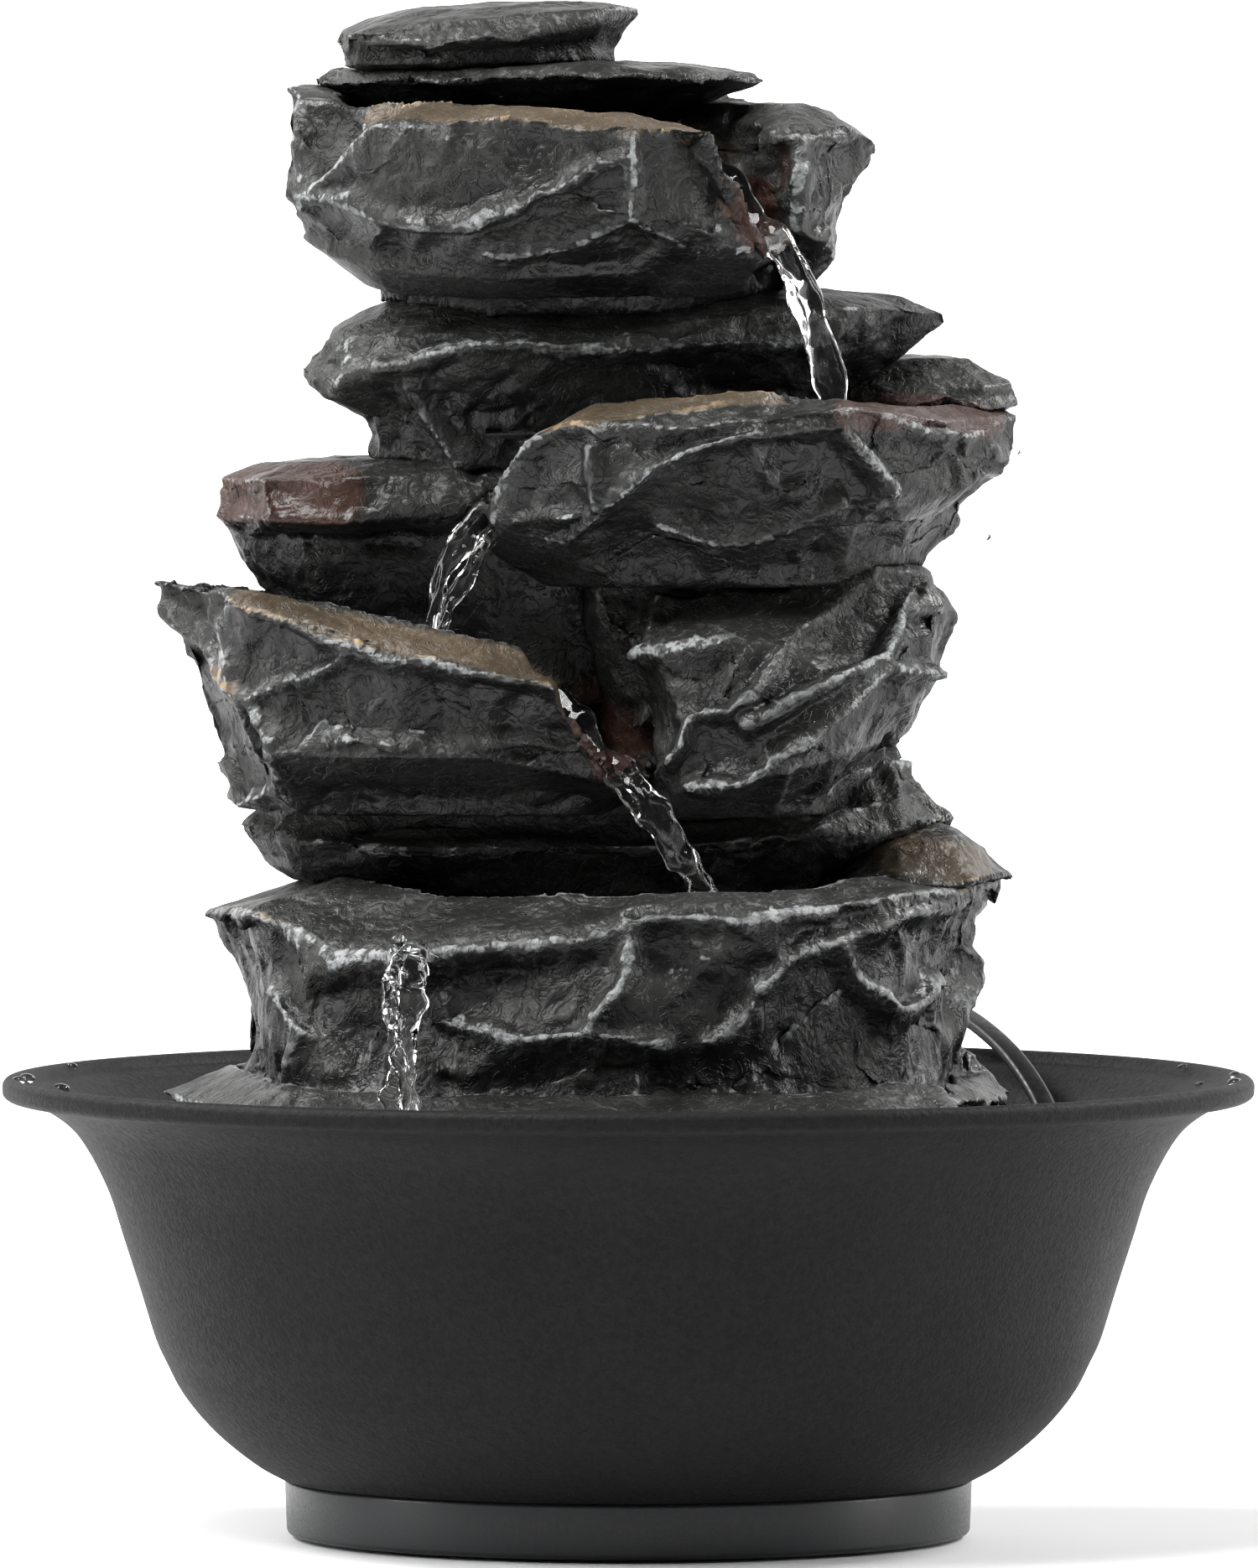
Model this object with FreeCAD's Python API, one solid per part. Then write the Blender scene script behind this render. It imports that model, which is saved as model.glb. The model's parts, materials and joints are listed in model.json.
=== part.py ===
"""Tabletop rock-cascade water fountain, modelled in millimetres.

The frame stands on the table: the origin is the centre of the foot's resting plane, +Z is up and the
fountain's face looks along -Y.  A flared reservoir bowl stands on a foot ring.  Inside it a small
submersible pump is held by suction cups and feeds a riser tube.  The cascade is a pile of cast stones:
four of them are basins, each spills into the next one, and the lowest spills into the bowl.  The whole
cascade lifts straight up off the pump.  A flat twin lead leaves the pump, passes under the cascade's
edge, climbs the bowl's rim at the back and ends in a plug-in adapter.
"""

import FreeCAD, Part
import math
import os

from FreeCAD import Vector

# ---------------------------------------------------------------- driving dimensions

# Reservoir bowl
RIM_RADIUS = 105.0            # outside of the rolled lip
BOWL_HEIGHT = 77.3            # table to the top of the lip
BOWL_WALL = 2.2
LIP_DROP = 4.0                # from the top of the lip to its underside
LIP_RETURN = 2.4              # from the lip's outermost edge in to its top
LIP_TIP = 1.8                 # from the top of the lip down to its outermost edge
FOOT_HEIGHT = 10.0            # table to the underside of the bowl
FOOT_WALL = 3.4
FOOT_DRAFT = 0.3              # how much the ring narrows towards the table
FOOT_RIB_HEIGHT = 3.0         # locating rib under the bowl, inside the ring
FOOT_RIB_WALL = 1.8
FOOT_RIB_GAP = 0.15
FEET_COUNT = 4
FEET_RADIUS = 6.0
FEET_PROUD = 0.6              # how far the rubber feet stand out of the ring's underside
FEET_HEIGHT = 2.0
FEET_EDGE = 0.3
FOOT_EDGE = 0.8               # bevel at the ring's bottom
FLANGE_WIDTH = 13.0           # inward flange of the foot ring, which carries the rubber feet
FLANGE_THICKNESS = 2.6

# Cascade
TOWER_HEIGHT = 257.4          # table to the top of the cap stone
SEAT_PAD_HEIGHT = 1.2
SEAT_PAD_RADIUS = 5.0

# Riser tube and its grommet
TUBE_AXIS = (-10.0, 14.0)
TUBE_BORE_RADIUS = 4.05
TUBE_WALL = 1.4
TUBE_OVERLAP = 8.0            # how much of the pump's nozzle the tube takes in
TUBE_STAND = 2.0              # how far the tube's mouth stands above the top basin's floor
BORE_CLEARANCE = 0.3
TOP_POOL_FLOOR = 231.0        # at the reference height, as the stone outlines are
BORE_TOP = 238.0
GROMMET_FLANGE = 2.6
GROMMET_HEIGHT = 1.8

# Hollow under the base stone, over the pump
HOLLOW_TOP = 94.0
HOLLOW_SIDE_GAP = 5.0         # beside the pump, and past its gland
HOLLOW_FRONT = -22.0
HOLLOW_CORNER = 3.0
HOLLOW_END_GAP = 6.0          # past the dial with the intake cover pulled out
UNDERCUT = 1.0                # how far a cutting solid runs past a face
NOTCH_WIDTH = 16.0            # the lead's way out, open at the base stone's underside
NOTCH_ROOM = 5.0              # above the lead's middle

# Pump
PUMP_LENGTH = 26.0            # motor block, along X
PUMP_WIDTH = 25.0
PUMP_HEIGHT = 31.0
PUMP_WALL = 1.8
PUMP_FLOOR = 2.6
PUMP_CORNER = 2.0
PUMP_STANDOFF = 5.0           # height of the suction cups
VOLUTE_LENGTH = 10.0
VOLUTE_BACK = 2.0             # wall between the chamber and the motor block
COVER_LENGTH = 9.0
COVER_WALL = 1.6
COVER_LIP = 3.0               # how far the cover's spigot enters the chamber
COVER_LIP_WALL = 1.4
COVER_GAP = 0.05
COVER_TRAVEL = 12.0
NOZZLE_GAP = 0.05
NOZZLE_BORE_RADIUS = 2.6
NOZZLE_LENGTH = 12.0
SLOT_COUNT = 7
SLOT_WIDTH = 1.2
EYE_RADIUS = 5.0
EYE_SPOKE = 1.6
EYE_BOSS = 0.8                 # wall round the front bush
SLOT_MARGIN = 4.0             # solid strip above and below the slots
DIAL_LAND = 0.8               # solid face round the dial
DIAL_RADIUS = 6.0
DIAL_THICKNESS = 2.0
DIAL_GRIP = (1.6, 9.0, 1.6)
DIAL_STEM_RADIUS = 1.6
DIAL_GAP = 0.05
DIAL_STEM_PROUD = 1.0         # how far the stem passes the cover's face, and its room in the sponge
SHAFT_RADIUS = 1.2
SHAFT_GAP = 0.05
BUSH_RADIUS = 2.6
BUSH_LENGTH = 1.5
SHAFT_END_GAP = 0.2
ROTOR_END_GAP = 0.4           # at each end of the turning pieces
MAGNET_RADIUS = 5.2
ROTOR_GAP = 0.5
CAN_WALL = 1.0
CAN_END_GAP = 3.0             # between the well's end and the motor cap
HUB_RADIUS = 2.8
IMPELLER_PLATE = 1.2
IMPELLER_GAP = 1.6            # between the impeller's rim and the chamber
BLADE_COUNT = 6
BLADE_HEIGHT = 4.0
BLADE_THICKNESS = 0.9
CORE_GAP = 0.1
CORE_START = 3.0              # from the motor block's left wall
CORE_LIMB = 2.4               # thickness of the side poles
YOKE_SHARE = (0.3, 0.7)       # where the bottom bar lies in the room under the rotor's well
WINDING_GAP = 0.2
WINDING_OVERHANG = (2.0, 1.0)  # past the bar at its two ends
WINDING_EDGE = 0.8
CAP_THICKNESS = 3.0
CUP_RADIUS = 5.6
CUP_STEM_RADIUS = 2.0
CUP_STEM_DEPTH = 1.8
CUP_WALL = 0.9
CUP_TIP_RADIUS = 0.6          # top of the cup's hollow
CUP_ROOF = 1.8
CUP_INSET = 4.5               # from the pump's sides to the middle of a cup
GLAND_RADIUS = 3.6
GLAND_LENGTH = 6.0
GLAND_END_WALL = 0.4

# Flat twin lead, drawn as one round tube of its full width
CORD_DIAMETER = 4.0
COIL_MEAN_RADIUS = 22.0
COIL_CENTRE = (18.5, 166.0)
COIL_WIDTH = 13.0             # how wide the bundle of turns is, seen from above
COIL_HEIGHT = 12.0
TIE_WIDTH = 5.0
TIE_WALL = 0.8
COIL_CORNER = 1.8             # roundness of the bundle
BEND_SHARE = 0.45             # of the shorter run at a bend that its arc takes up
ADAPTER_SIZE = (26.0, 40.0, 24.0)
ADAPTER_CORNER = 3.0
ADAPTER_CENTRE = (-38.0, 122.0)
BLADE_PIN = (1.5, 16.0, 6.3)
BLADE_PIN_SPACING = 12.7
RELIEF_LENGTH = 16.0
RELIEF_RADIUS = 3.4
RELIEF_END_WALL = 0.3

# ---------------------------------------------------------------- derived places

FLOOR_Z = FOOT_HEIGHT + BOWL_WALL
SEAT_Z = FLOOR_Z + SEAT_PAD_HEIGHT
REFERENCE_RIM = 105.0                         # the outlines below are drawn for this rim,
REFERENCE_SEAT = 13.4                         # this seat
REFERENCE_TOP = 257.4                         # and this top
PLAN = RIM_RADIUS / REFERENCE_RIM             # the cascade's plan follows the bowl
FOOT_RADIUS = 57.6 * PLAN
RISE = (TOWER_HEIGHT - SEAT_Z) / (REFERENCE_TOP - REFERENCE_SEAT)
TUBE_RADIUS = TUBE_BORE_RADIUS + TUBE_WALL

NOZZLE_X, PUMP_Y = TUBE_AXIS
NOZZLE_RADIUS = TUBE_BORE_RADIUS - NOZZLE_GAP
PUMP_BOTTOM = FLOOR_Z + PUMP_STANDOFF
PUMP_TOP = PUMP_BOTTOM + PUMP_HEIGHT
LEAD_Z = (PUMP_BOTTOM + PUMP_TOP) / 2.0       # the lead's height where it leaves the pump
ROTOR_Z = PUMP_TOP - PUMP_WIDTH / 2.0
PUMP_FRONT = PUMP_Y - PUMP_WIDTH / 2.0
PUMP_REAR = PUMP_Y + PUMP_WIDTH / 2.0
VOLUTE_LEFT = NOZZLE_X - VOLUTE_LENGTH / 2.0
MOTOR_LEFT = VOLUTE_LEFT + VOLUTE_LENGTH
MOTOR_RIGHT = MOTOR_LEFT + PUMP_LENGTH
COVER_LEFT = VOLUTE_LEFT - COVER_LENGTH
CHAMBER_RIGHT = MOTOR_LEFT - VOLUTE_BACK
CHAMBER_RADIUS = PUMP_WIDTH / 2.0 - PUMP_WALL
NOZZLE_TOP = PUMP_TOP + NOZZLE_LENGTH
GLAND_END = MOTOR_RIGHT + GLAND_LENGTH
CAN_RADIUS = MAGNET_RADIUS + ROTOR_GAP        # the rotor's well in the motor block
CAN_OUTSIDE = CAN_RADIUS + CAN_WALL
CAN_END = MOTOR_RIGHT - CAP_THICKNESS - CAN_END_GAP
DIAL_LEFT = COVER_LEFT - DIAL_THICKNESS - DIAL_GRIP[2]
ROTOR_AXIS = (0.0, PUMP_Y, ROTOR_Z)


def height(reference):
    """A height in the stone outlines, carried to the cascade's real height."""
    return SEAT_Z + (reference - REFERENCE_SEAT) * RISE


# ---------------------------------------------------------------- general shapes


def box(x0, y0, z0, x1, y1, z1):
    """A box between two corners."""
    return Part.makeBox(x1 - x0, y1 - y0, z1 - z0, Vector(x0, y0, z0))


def rod(radius, length, base, axis):
    """A round bar from base along axis."""
    return Part.makeCylinder(radius, length, Vector(*base), Vector(*axis))


def softened(shape, radius):
    """The shape with every edge that takes it rounded."""
    return shape.makeFillet(radius, shape.Edges)


def lathe(edges):
    """A solid of revolution about Z from edges that close on themselves in the XZ plane."""
    face = Part.Face(Part.Wire(edges))
    return face.revolve(Vector(0, 0, 0), Vector(0, 0, 1), 360)


def spline(points):
    """A smooth curve through points of a section, (radius, height)."""
    curve = Part.BSplineCurve()
    curve.interpolate([Vector(r, 0, z) for r, z in points])
    return curve


def stone_solid(rings):
    """A closed faceted solid from rings of points; each end ring is closed by a fan to its middle."""
    placed = [[Vector(x * PLAN, y * PLAN, height(z)) for x, y, z in ring] for ring in rings]
    faces = []

    def facet(*corners):
        faces.append(Part.Face(Part.makePolygon([*corners, corners[0]])))

    for low, high in zip(placed, placed[1:]):
        for i in range(len(low)):
            j = (i + 1) % len(low)
            facet(low[i], low[j], high[j])
            facet(low[i], high[j], high[i])
    for ring in (placed[0], placed[-1]):
        middle = sum(ring, Vector(0, 0, 0)) * (1.0 / len(ring))
        for i in range(len(ring)):
            facet(middle, ring[i], ring[(i + 1) % len(ring)])
    solid = Part.Solid(Part.Shell(faces))
    if solid.Volume < 0:
        solid.reverse()
    return solid


def shrunk(ring, share, z):
    """The ring drawn in towards its middle to share of its size, laid at one height."""
    cx = sum(p[0] for p in ring) / len(ring)
    cy = sum(p[1] for p in ring) / len(ring)
    return [(cx + (x - cx) * share, cy + (y - cy) * share, z) for x, y, _ in ring]


def moved_ring(ring, share, heights):
    """The ring drawn in to share of its size, with each point's own height."""
    return [(x, y, z) for (x, y, _), z in zip(shrunk(ring, share, 0.0), heights)]


# ---------------------------------------------------------------- stone outlines
# Each stone is a stack of rings, lowest first.  A ring runs anticlockwise from the right-hand side,
# so the middle of each list is the left-hand side and its last third is the face.  Heights count from
# the table at the reference size.

BASE_CREST = [(64, 6, 110), (55, 36, 110), (30, 55, 110), (0, 60, 112), (-32, 55, 109), (-58, 34, 107),
              (-72, 4, 104), (-64, -26, 106), (-50, -44, 99), (-37, -52, 100), (-12, -57, 103),
              (3, -56, 108), (27, -54, 107), (50, -34, 109)]
BASE_BELT = [(60, 6, 92), (52, 34, 90), (32, 52, 90), (2, 56, 88), (-30, 52, 88), (-54, 32, 90),
             (-66, 2, 90), (-60, -30, 94), (-52, -44, 88), (-37, -50, 88), (-14, -60, 90),
             (2, -62, 92), (24, -54, 90), (46, -38, 96)]
BASE_FACE_FOOT = [(58, 4, 80), (50, 32, 76), (30, 50, 76), (0, 55, 76), (-32, 50, 76), (-54, 30, 78),
                  (-65, 0, 80), (-57, -36, 79), (-50, -48, 79), (-38, -54, 78), (-12, -58, 78),
                  (6, -58, 78), (26, -54, 78), (52, -34, 79)]
BASE_APRON = [(67, 4, 73), (52, 33, 62), (34, 52, 64), (0, 66, 70), (-38, 64, 70), (-66, 40, 72),
              (-80, 0, 74), (-68, -42, 73), (-54, -58, 73), (-38, -68, 73), (-12, -74, 73),
              (8, -74, 73), (30, -68, 73), (56, -44, 73)]
BASE_POOL = [(50, 5, 112), (42, 26, 112), (24, 38, 112), (0, 42, 112), (-26, 38, 112), (-44, 24, 112),
             (-50, 2, 112), (-46, -18, 112), (-38, -30, 111), (-30, -36, 109.6), (-12, -46, 110.5),
             (3, -47, 110.5), (24, -44, 110.5), (40, -26, 112)]
BASE_SOLE = [(50, 3, 13.4), (40, 26, 13.4), (27, 40, 13.4), (0, 49, 13.4), (-27, 46, 13.4),
             (-48, 30, 13.4), (-56, 0, 13.4), (-48, -31, 13.4), (-38, -42, 13.4), (-27, -49, 13.4),
             (-9, -54, 13.4), (6, -54, 13.4), (22, -50, 13.4), (41, -33, 13.4)]
BASE_ROCK = [BASE_SOLE, shrunk(BASE_APRON, 0.86, 56), BASE_APRON, BASE_FACE_FOOT, BASE_BELT,
             BASE_CREST, BASE_POOL, shrunk(BASE_POOL, 0.9, 102)]

SHOULDER_STONE = [
    [(56, 8, 106), (50, 20, 106), (40, 24, 106), (32, 18, 106), (30, 4, 106), (33, -10, 106),
     (42, -20, 106), (52, -14, 106)],
    [(64, 6, 110.5), (56, 24, 111), (42, 28, 111), (32, 20, 111), (29, 4, 110), (34, -14, 110),
     (45, -25, 110), (57, -18, 111)],
    [(60, 8, 114.5), (53, 22, 116), (42, 25, 118), (35, 18, 118), (32, 6, 117), (36, -8, 115),
     (45, -16, 116), (55, -10, 118)],
    [(55, 10, 118), (50, 18, 119.5), (43, 20, 120), (38, 15, 120), (37, 7, 120), (39, -1, 119),
     (45, -6, 119), (52, -2, 119.5)],
]

LOWER_LEDGE = [
    [(40, 4, 102), (34, 22, 102), (14, 32, 102), (-12, 32, 102), (-34, 22, 102), (-42, 2, 102),
     (-38, -8, 102), (-26, -12, 102), (-8, -12, 102), (8, -12, 102), (24, -12, 102), (36, -6, 102)],
    [(48, 6, 113), (42, 28, 113), (16, 42, 113), (-16, 42, 113), (-48, 26, 113), (-61, 2, 113),
     (-56, -14, 112.5), (-36, -20, 112), (-10, -16, 112), (10, -16, 112), (28, -16, 112), (42, -8, 113)],
    [(55, 6, 119), (46, 32, 119), (18, 46, 119), (-18, 46, 119), (-52, 28, 119), (-66, 2, 119),
     (-60, -18, 118), (-38, -26, 116), (-10, -20, 116), (12, -20, 117), (32, -22, 119), (48, -12, 120)],
    [(53, 6, 124), (44, 30, 124), (17, 44, 124), (-17, 44, 124), (-50, 27, 124), (-63, 2, 122.5),
     (-58, -16, 121.5), (-36, -18, 121), (-10, -12, 121), (12, -12, 121), (32, -16, 123), (46, -10, 125)],
    [(48, 6, 130), (40, 26, 130), (14, 38, 130), (-14, 38, 130), (-44, 24, 130), (-58, 2, 128),
     (-52, -12, 128), (-32, -14, 128), (-10, -10, 128), (12, -10, 128), (30, -14, 130), (42, -8, 131)],
]

LEFT_CREST = [(12, -14, 134), (20, 10, 140), (10, 34, 146), (-20, 42, 152), (-48, 36, 156),
              (-70, 20, 159), (-80, 2, 160), (-73, -16, 159.5), (-65, -30, 158), (-50, -40, 152.5),
              (-34, -46, 148.5), (-14, -47, 144), (-8, -44, 137.5), (1, -41, 128.5)]
LEFT_BELT = [(10, -12, 128), (18, 12, 132), (8, 32, 138), (-20, 38, 142), (-44, 32, 144),
             (-62, 18, 142), (-75, 2, 143), (-70, -15, 142), (-64, -30, 142), (-60, -36, 134),
             (-42, -42, 133), (-24, -42, 133), (-12, -40, 130), (-2, -37, 127)]
LEFT_UNDER = [(6, -8, 126), (14, 12, 127), (6, 28, 128), (-20, 34, 128), (-42, 28, 128),
              (-58, 16, 126), (-68, 2, 124), (-66, -12, 123), (-60, -24, 126), (-50, -28, 127),
              (-36, -30, 127), (-22, -30, 127), (-10, -30, 126), (-4, -30, 125)]
LEFT_POOL = [(2, -16, 132), (12, 4, 134), (6, 24, 140), (-20, 32, 148), (-42, 28, 152),
             (-60, 16, 156), (-70, 2, 158), (-64, -12, 158.5), (-60, -25, 159), (-47, -32, 157.5),
             (-33, -36, 154.5), (-18, -38, 151), (-12, -38, 143), (-5, -35, 130.5)]
LEFT_BASIN = [shrunk(LEFT_UNDER, 0.8, 122), LEFT_UNDER, LEFT_BELT, LEFT_CREST, LEFT_POOL,
              moved_ring(LEFT_POOL, 0.86, [129, 131, 134, 138, 140, 141, 141, 141, 141, 140, 139, 137,
                                           133, 128.6])]

RIGHT_BOULDER = [
    [(36, 4, 122), (32, 20, 122), (16, 28, 122), (2, 26, 122), (-4, 16, 122), (-2, 0, 122),
     (4, -18, 122), (9, -28, 122), (16, -30, 122), (24, -30, 122), (31, -24, 122), (36, -12, 122)],
    [(46, 4, 130), (40, 26, 130), (20, 36, 130), (2, 34, 130), (-6, 20, 130), (-4, 0, 130),
     (2, -24, 127), (8, -42, 128), (14, -46, 126.5), (27, -44, 131), (38, -34, 133), (45, -16, 133)],
    [(54, 4, 141), (46, 30, 142), (22, 42, 142), (0, 38, 142), (-8, 20, 142), (-4, -6, 142),
     (1, -30, 140), (6, -42, 135), (20, -48, 139), (32, -42, 143), (43, -32, 147), (53, -14, 144)],
    [(57, 4, 153), (48, 30, 153), (22, 42, 153), (0, 38, 153), (-8, 20, 153), (-6, -10, 152),
     (-4, -26, 152), (2, -36, 149.5), (16, -40, 151.5), (27, -36, 151.5), (44, -24, 155), (55, -10, 156)],
    [(51, 4, 161.5), (44, 26, 162), (20, 38, 163), (0, 34, 163), (-8, 18, 163), (-8, -8, 163),
     (-6, -18, 161), (4, -22, 161), (14, -22, 160), (26, -22, 160), (42, -16, 163), (50, -6, 161)],
    [(43, 4, 166), (36, 22, 166), (16, 30, 166), (0, 28, 166), (-8, 16, 166), (-8, -6, 166),
     (-6, -14, 166), (4, -18, 166), (14, -18, 166), (24, -18, 166), (36, -12, 167), (42, -4, 166)],
]

LEFT_SLAB = [
    [(8, 2, 140), (6, 20, 140), (-6, 28, 140), (-24, 28, 140), (-38, 22, 140), (-48, 10, 140),
     (-46, 0, 140), (-40, -8, 140), (-32, -10, 140), (-22, -10, 140), (-12, -10, 140), (2, -6, 140)],
    [(8, 2, 160), (6, 22, 160), (-6, 32, 160), (-26, 32, 160), (-46, 26, 160), (-62, 12, 160),
     (-62, -4, 161), (-54, -15, 161), (-42, -16, 160), (-28, -14, 160), (-12, -12, 160), (2, -8, 160)],
    [(8, 2, 168), (6, 24, 169), (-6, 34, 169), (-26, 35, 169), (-48, 29, 169), (-65, 14, 168),
     (-66, -4, 167), (-56, -16, 168), (-43, -17, 168), (-28, -15, 168), (-12, -12, 168), (2, -8, 168)],
    [(8, 2, 172), (6, 24, 172), (-6, 35, 172), (-26, 36, 172), (-50, 30, 172), (-66, 14, 171),
     (-68.5, -4, 171), (-60, -23, 171.5), (-46, -25, 171), (-32, -22, 172.5), (-14, -14, 172),
     (2, -8, 172)],
    [(8, 2, 178), (6, 24, 178), (-6, 34, 178), (-26, 35, 178), (-50, 30, 178), (-66, 14, 177),
     (-69, -3, 177.5), (-62, -20, 177.5), (-47, -23, 178), (-32, -20, 178), (-14, -14, 178), (2, -8, 178)],
    [(6, 2, 181), (4, 20, 181), (-6, 28, 181), (-24, 30, 181), (-46, 24, 181), (-60, 12, 180),
     (-62, 0, 180), (-56, -10, 180.5), (-44, -12, 181), (-30, -12, 181), (-12, -10, 181), (0, -6, 181)],
]

RIGHT_CREST = [(65, 4, 187.5), (59, 26, 193), (38, 42, 194), (8, 46, 194), (-16, 40, 192),
               (-28, 18, 188), (-30, -4, 182), (-24, -25, 172), (-17, -36, 184), (-8, -42, 187),
               (9, -46, 186), (22, -48, 187.5), (36, -44, 189.5), (53, -26, 187)]
RIGHT_BELT = [(65, 4, 180), (58, 28, 180), (38, 42, 180), (8, 44, 180), (-16, 38, 178),
              (-26, 18, 174), (-26, -4, 172), (-25, -24, 167), (-20, -34, 172), (-6, -42, 173),
              (4, -44, 178), (22, -44, 175.5), (43, -36, 175.5), (58, -20, 177)]
RIGHT_UNDER = [(58, 4, 170), (50, 24, 168), (32, 34, 166), (8, 38, 166), (-14, 32, 166),
               (-22, 16, 166), (-22, -6, 165), (-22, -20, 165), (-14, -30, 167.5), (-8, -36, 168.5),
               (4, -36, 170), (20, -38, 168), (40, -30, 170), (50, -16, 170)]
RIGHT_POOL = [(56, 4, 190.5), (48, 22, 192), (30, 32, 193), (6, 36, 193), (-12, 30, 190),
              (-21, 14, 184), (-23, -4, 176), (-19, -20, 173.5), (-11, -28, 187), (-5, -33, 191),
              (9, -37, 192), (22, -39, 193.5), (34, -34, 191.2), (47, -20, 190)]
RIGHT_BASIN = [shrunk(RIGHT_UNDER, 0.75, 160), RIGHT_UNDER, RIGHT_BELT, RIGHT_CREST, RIGHT_POOL,
               moved_ring(RIGHT_POOL, 0.86, [184, 184, 184, 184, 183, 179, 173.5, 172, 180, 184, 184,
                                             184, 184, 184])]

BACK_RIM_STONE = [
    [(58, 10, 185), (54, 22, 185), (44, 30, 185), (34, 26, 185), (32, 16, 185), (38, 6, 185),
     (48, 2, 185), (55, 4, 185)],
    [(65.5, 8, 190), (60, 24, 190), (46, 34, 190), (33, 30, 190), (29, 16, 190), (36, 2, 190),
     (50, -5, 190), (61, -1, 190)],
    [(65, 8, 193), (58, 22, 194), (46, 32, 195), (34, 28, 194), (30, 16, 193.5), (38, 4, 193.5),
     (50, -2, 193), (60, 1, 192.5)],
    [(57, 11, 197.5), (53, 19, 198), (46, 25, 198), (40, 22, 197), (38, 16, 196.5), (42, 10, 197),
     (49, 7, 197.5), (54, 8, 197.5)],
]

UPPER_LEDGE = [
    [(24, 6, 174), (20, 22, 174), (4, 30, 174), (-14, 30, 174), (-32, 22, 174), (-42, 8, 174),
     (-40, -6, 174), (-33, -12, 174), (-26, -14, 172), (-16, -12, 174), (0, -10, 174), (16, -6, 174)],
    [(36, 4, 190), (32, 24, 190), (10, 34, 190), (-14, 34, 190), (-34, 26, 190), (-43.5, 6, 187),
     (-43, -8, 188), (-36, -18, 188), (-27, -20, 186), (-17, -18, 190), (4, -16, 192), (26, -10, 192)],
    [(46, 4, 198), (42, 26, 197), (14, 38, 197), (-16, 38, 197), (-42, 28, 196), (-56, 6, 195.5),
     (-52, -12, 192), (-41, -24, 196.5), (-26, -28, 200.5), (-10, -26, 199.5), (8, -22, 200),
     (34, -14, 199)],
    [(54, 4, 204.5), (46, 28, 203), (16, 38, 203), (-18, 38, 203), (-40, 28, 203), (-50, 6, 202.5),
     (-48, -10, 202), (-38, -20, 201.5), (-24, -22, 202.5), (-8, -22, 202.5), (10, -22, 203.5),
     (38, -14, 206)],
    [(46, 4, 208), (38, 24, 207.5), (12, 32, 207), (-16, 32, 207), (-36, 24, 207), (-43, 4, 206.5),
     (-40, -8, 206), (-30, -14, 206), (-16, -15, 206), (0, -15, 206), (16, -14, 207), (32, -10, 208)],
    [(28, 4, 209.5), (24, 18, 209), (8, 24, 209), (-14, 26, 209), (-30, 18, 209), (-36, 4, 209),
     (-34, -6, 209), (-26, -10, 209), (-14, -11, 209), (0, -11, 209), (12, -10, 209), (22, -6, 209)],
]

TOP_CREST = [(30, -8, 221), (33, 22, 238), (16, 38, 242), (-10, 42, 242), (-36, 36, 243),
             (-52, 20, 243.5), (-58, 2, 243), (-55, -12, 240.5), (-50, -22, 232), (-44, -30, 236),
             (-20, -38, 237.5), (0, -40, 236), (14.5, -36, 235.3), (24, -28, 216)]
TOP_BELT = [(30, -4, 216), (30, 20, 222), (14, 34, 224), (-10, 38, 224), (-34, 34, 226),
            (-52, 18, 228), (-58.5, 2, 230), (-55.5, -14, 224.5), (-47, -26, 225), (-36, -34, 221),
            (-24, -38, 220), (0, -40, 224), (12, -38, 221), (22, -28, 214.5)]
TOP_UNDER = [(27, 2, 210), (24, 18, 212), (10, 28, 212), (-10, 32, 212), (-30, 28, 213),
             (-46, 16, 215), (-56, 2, 218.5), (-51, -12, 215.5), (-44, -20, 213.5), (-34, -26, 212),
             (-22, -28, 211.5), (0, -27, 212), (12, -26, 213), (20, -19, 211)]
TOP_NECK = [(26, 2, 207.5), (22, 16, 207.5), (8, 24, 207.5), (-10, 26, 207.5), (-28, 20, 208),
            (-38, 12, 208), (-43, 2, 209), (-38, -8, 208), (-32, -14, 208), (-24, -18, 207.5),
            (-14, -19, 207.5), (0, -19, 207.5), (10, -17, 207.5), (20, -10, 207.5)]
TOP_POOL = [(25, -8, 221), (25, 14, 234), (12, 28, 238), (-10, 32, 239), (-30, 28, 241),
            (-44, 14, 242), (-49, 2, 242), (-46, -8, 241.5), (-41, -16, 241), (-32, -24, 241),
            (-18, -31, 240.3), (0, -32, 239), (8.5, -30, 237), (21, -23, 218)]
TOP_BASIN = [shrunk(TOP_NECK, 0.92, 204), TOP_NECK, TOP_UNDER, TOP_BELT, TOP_CREST, TOP_POOL,
             moved_ring(TOP_POOL, 0.86, [219, 228, 231, 231, 231, 231, 231, 231, 231, 231, 231, 230,
                                         227, 217])]

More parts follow.
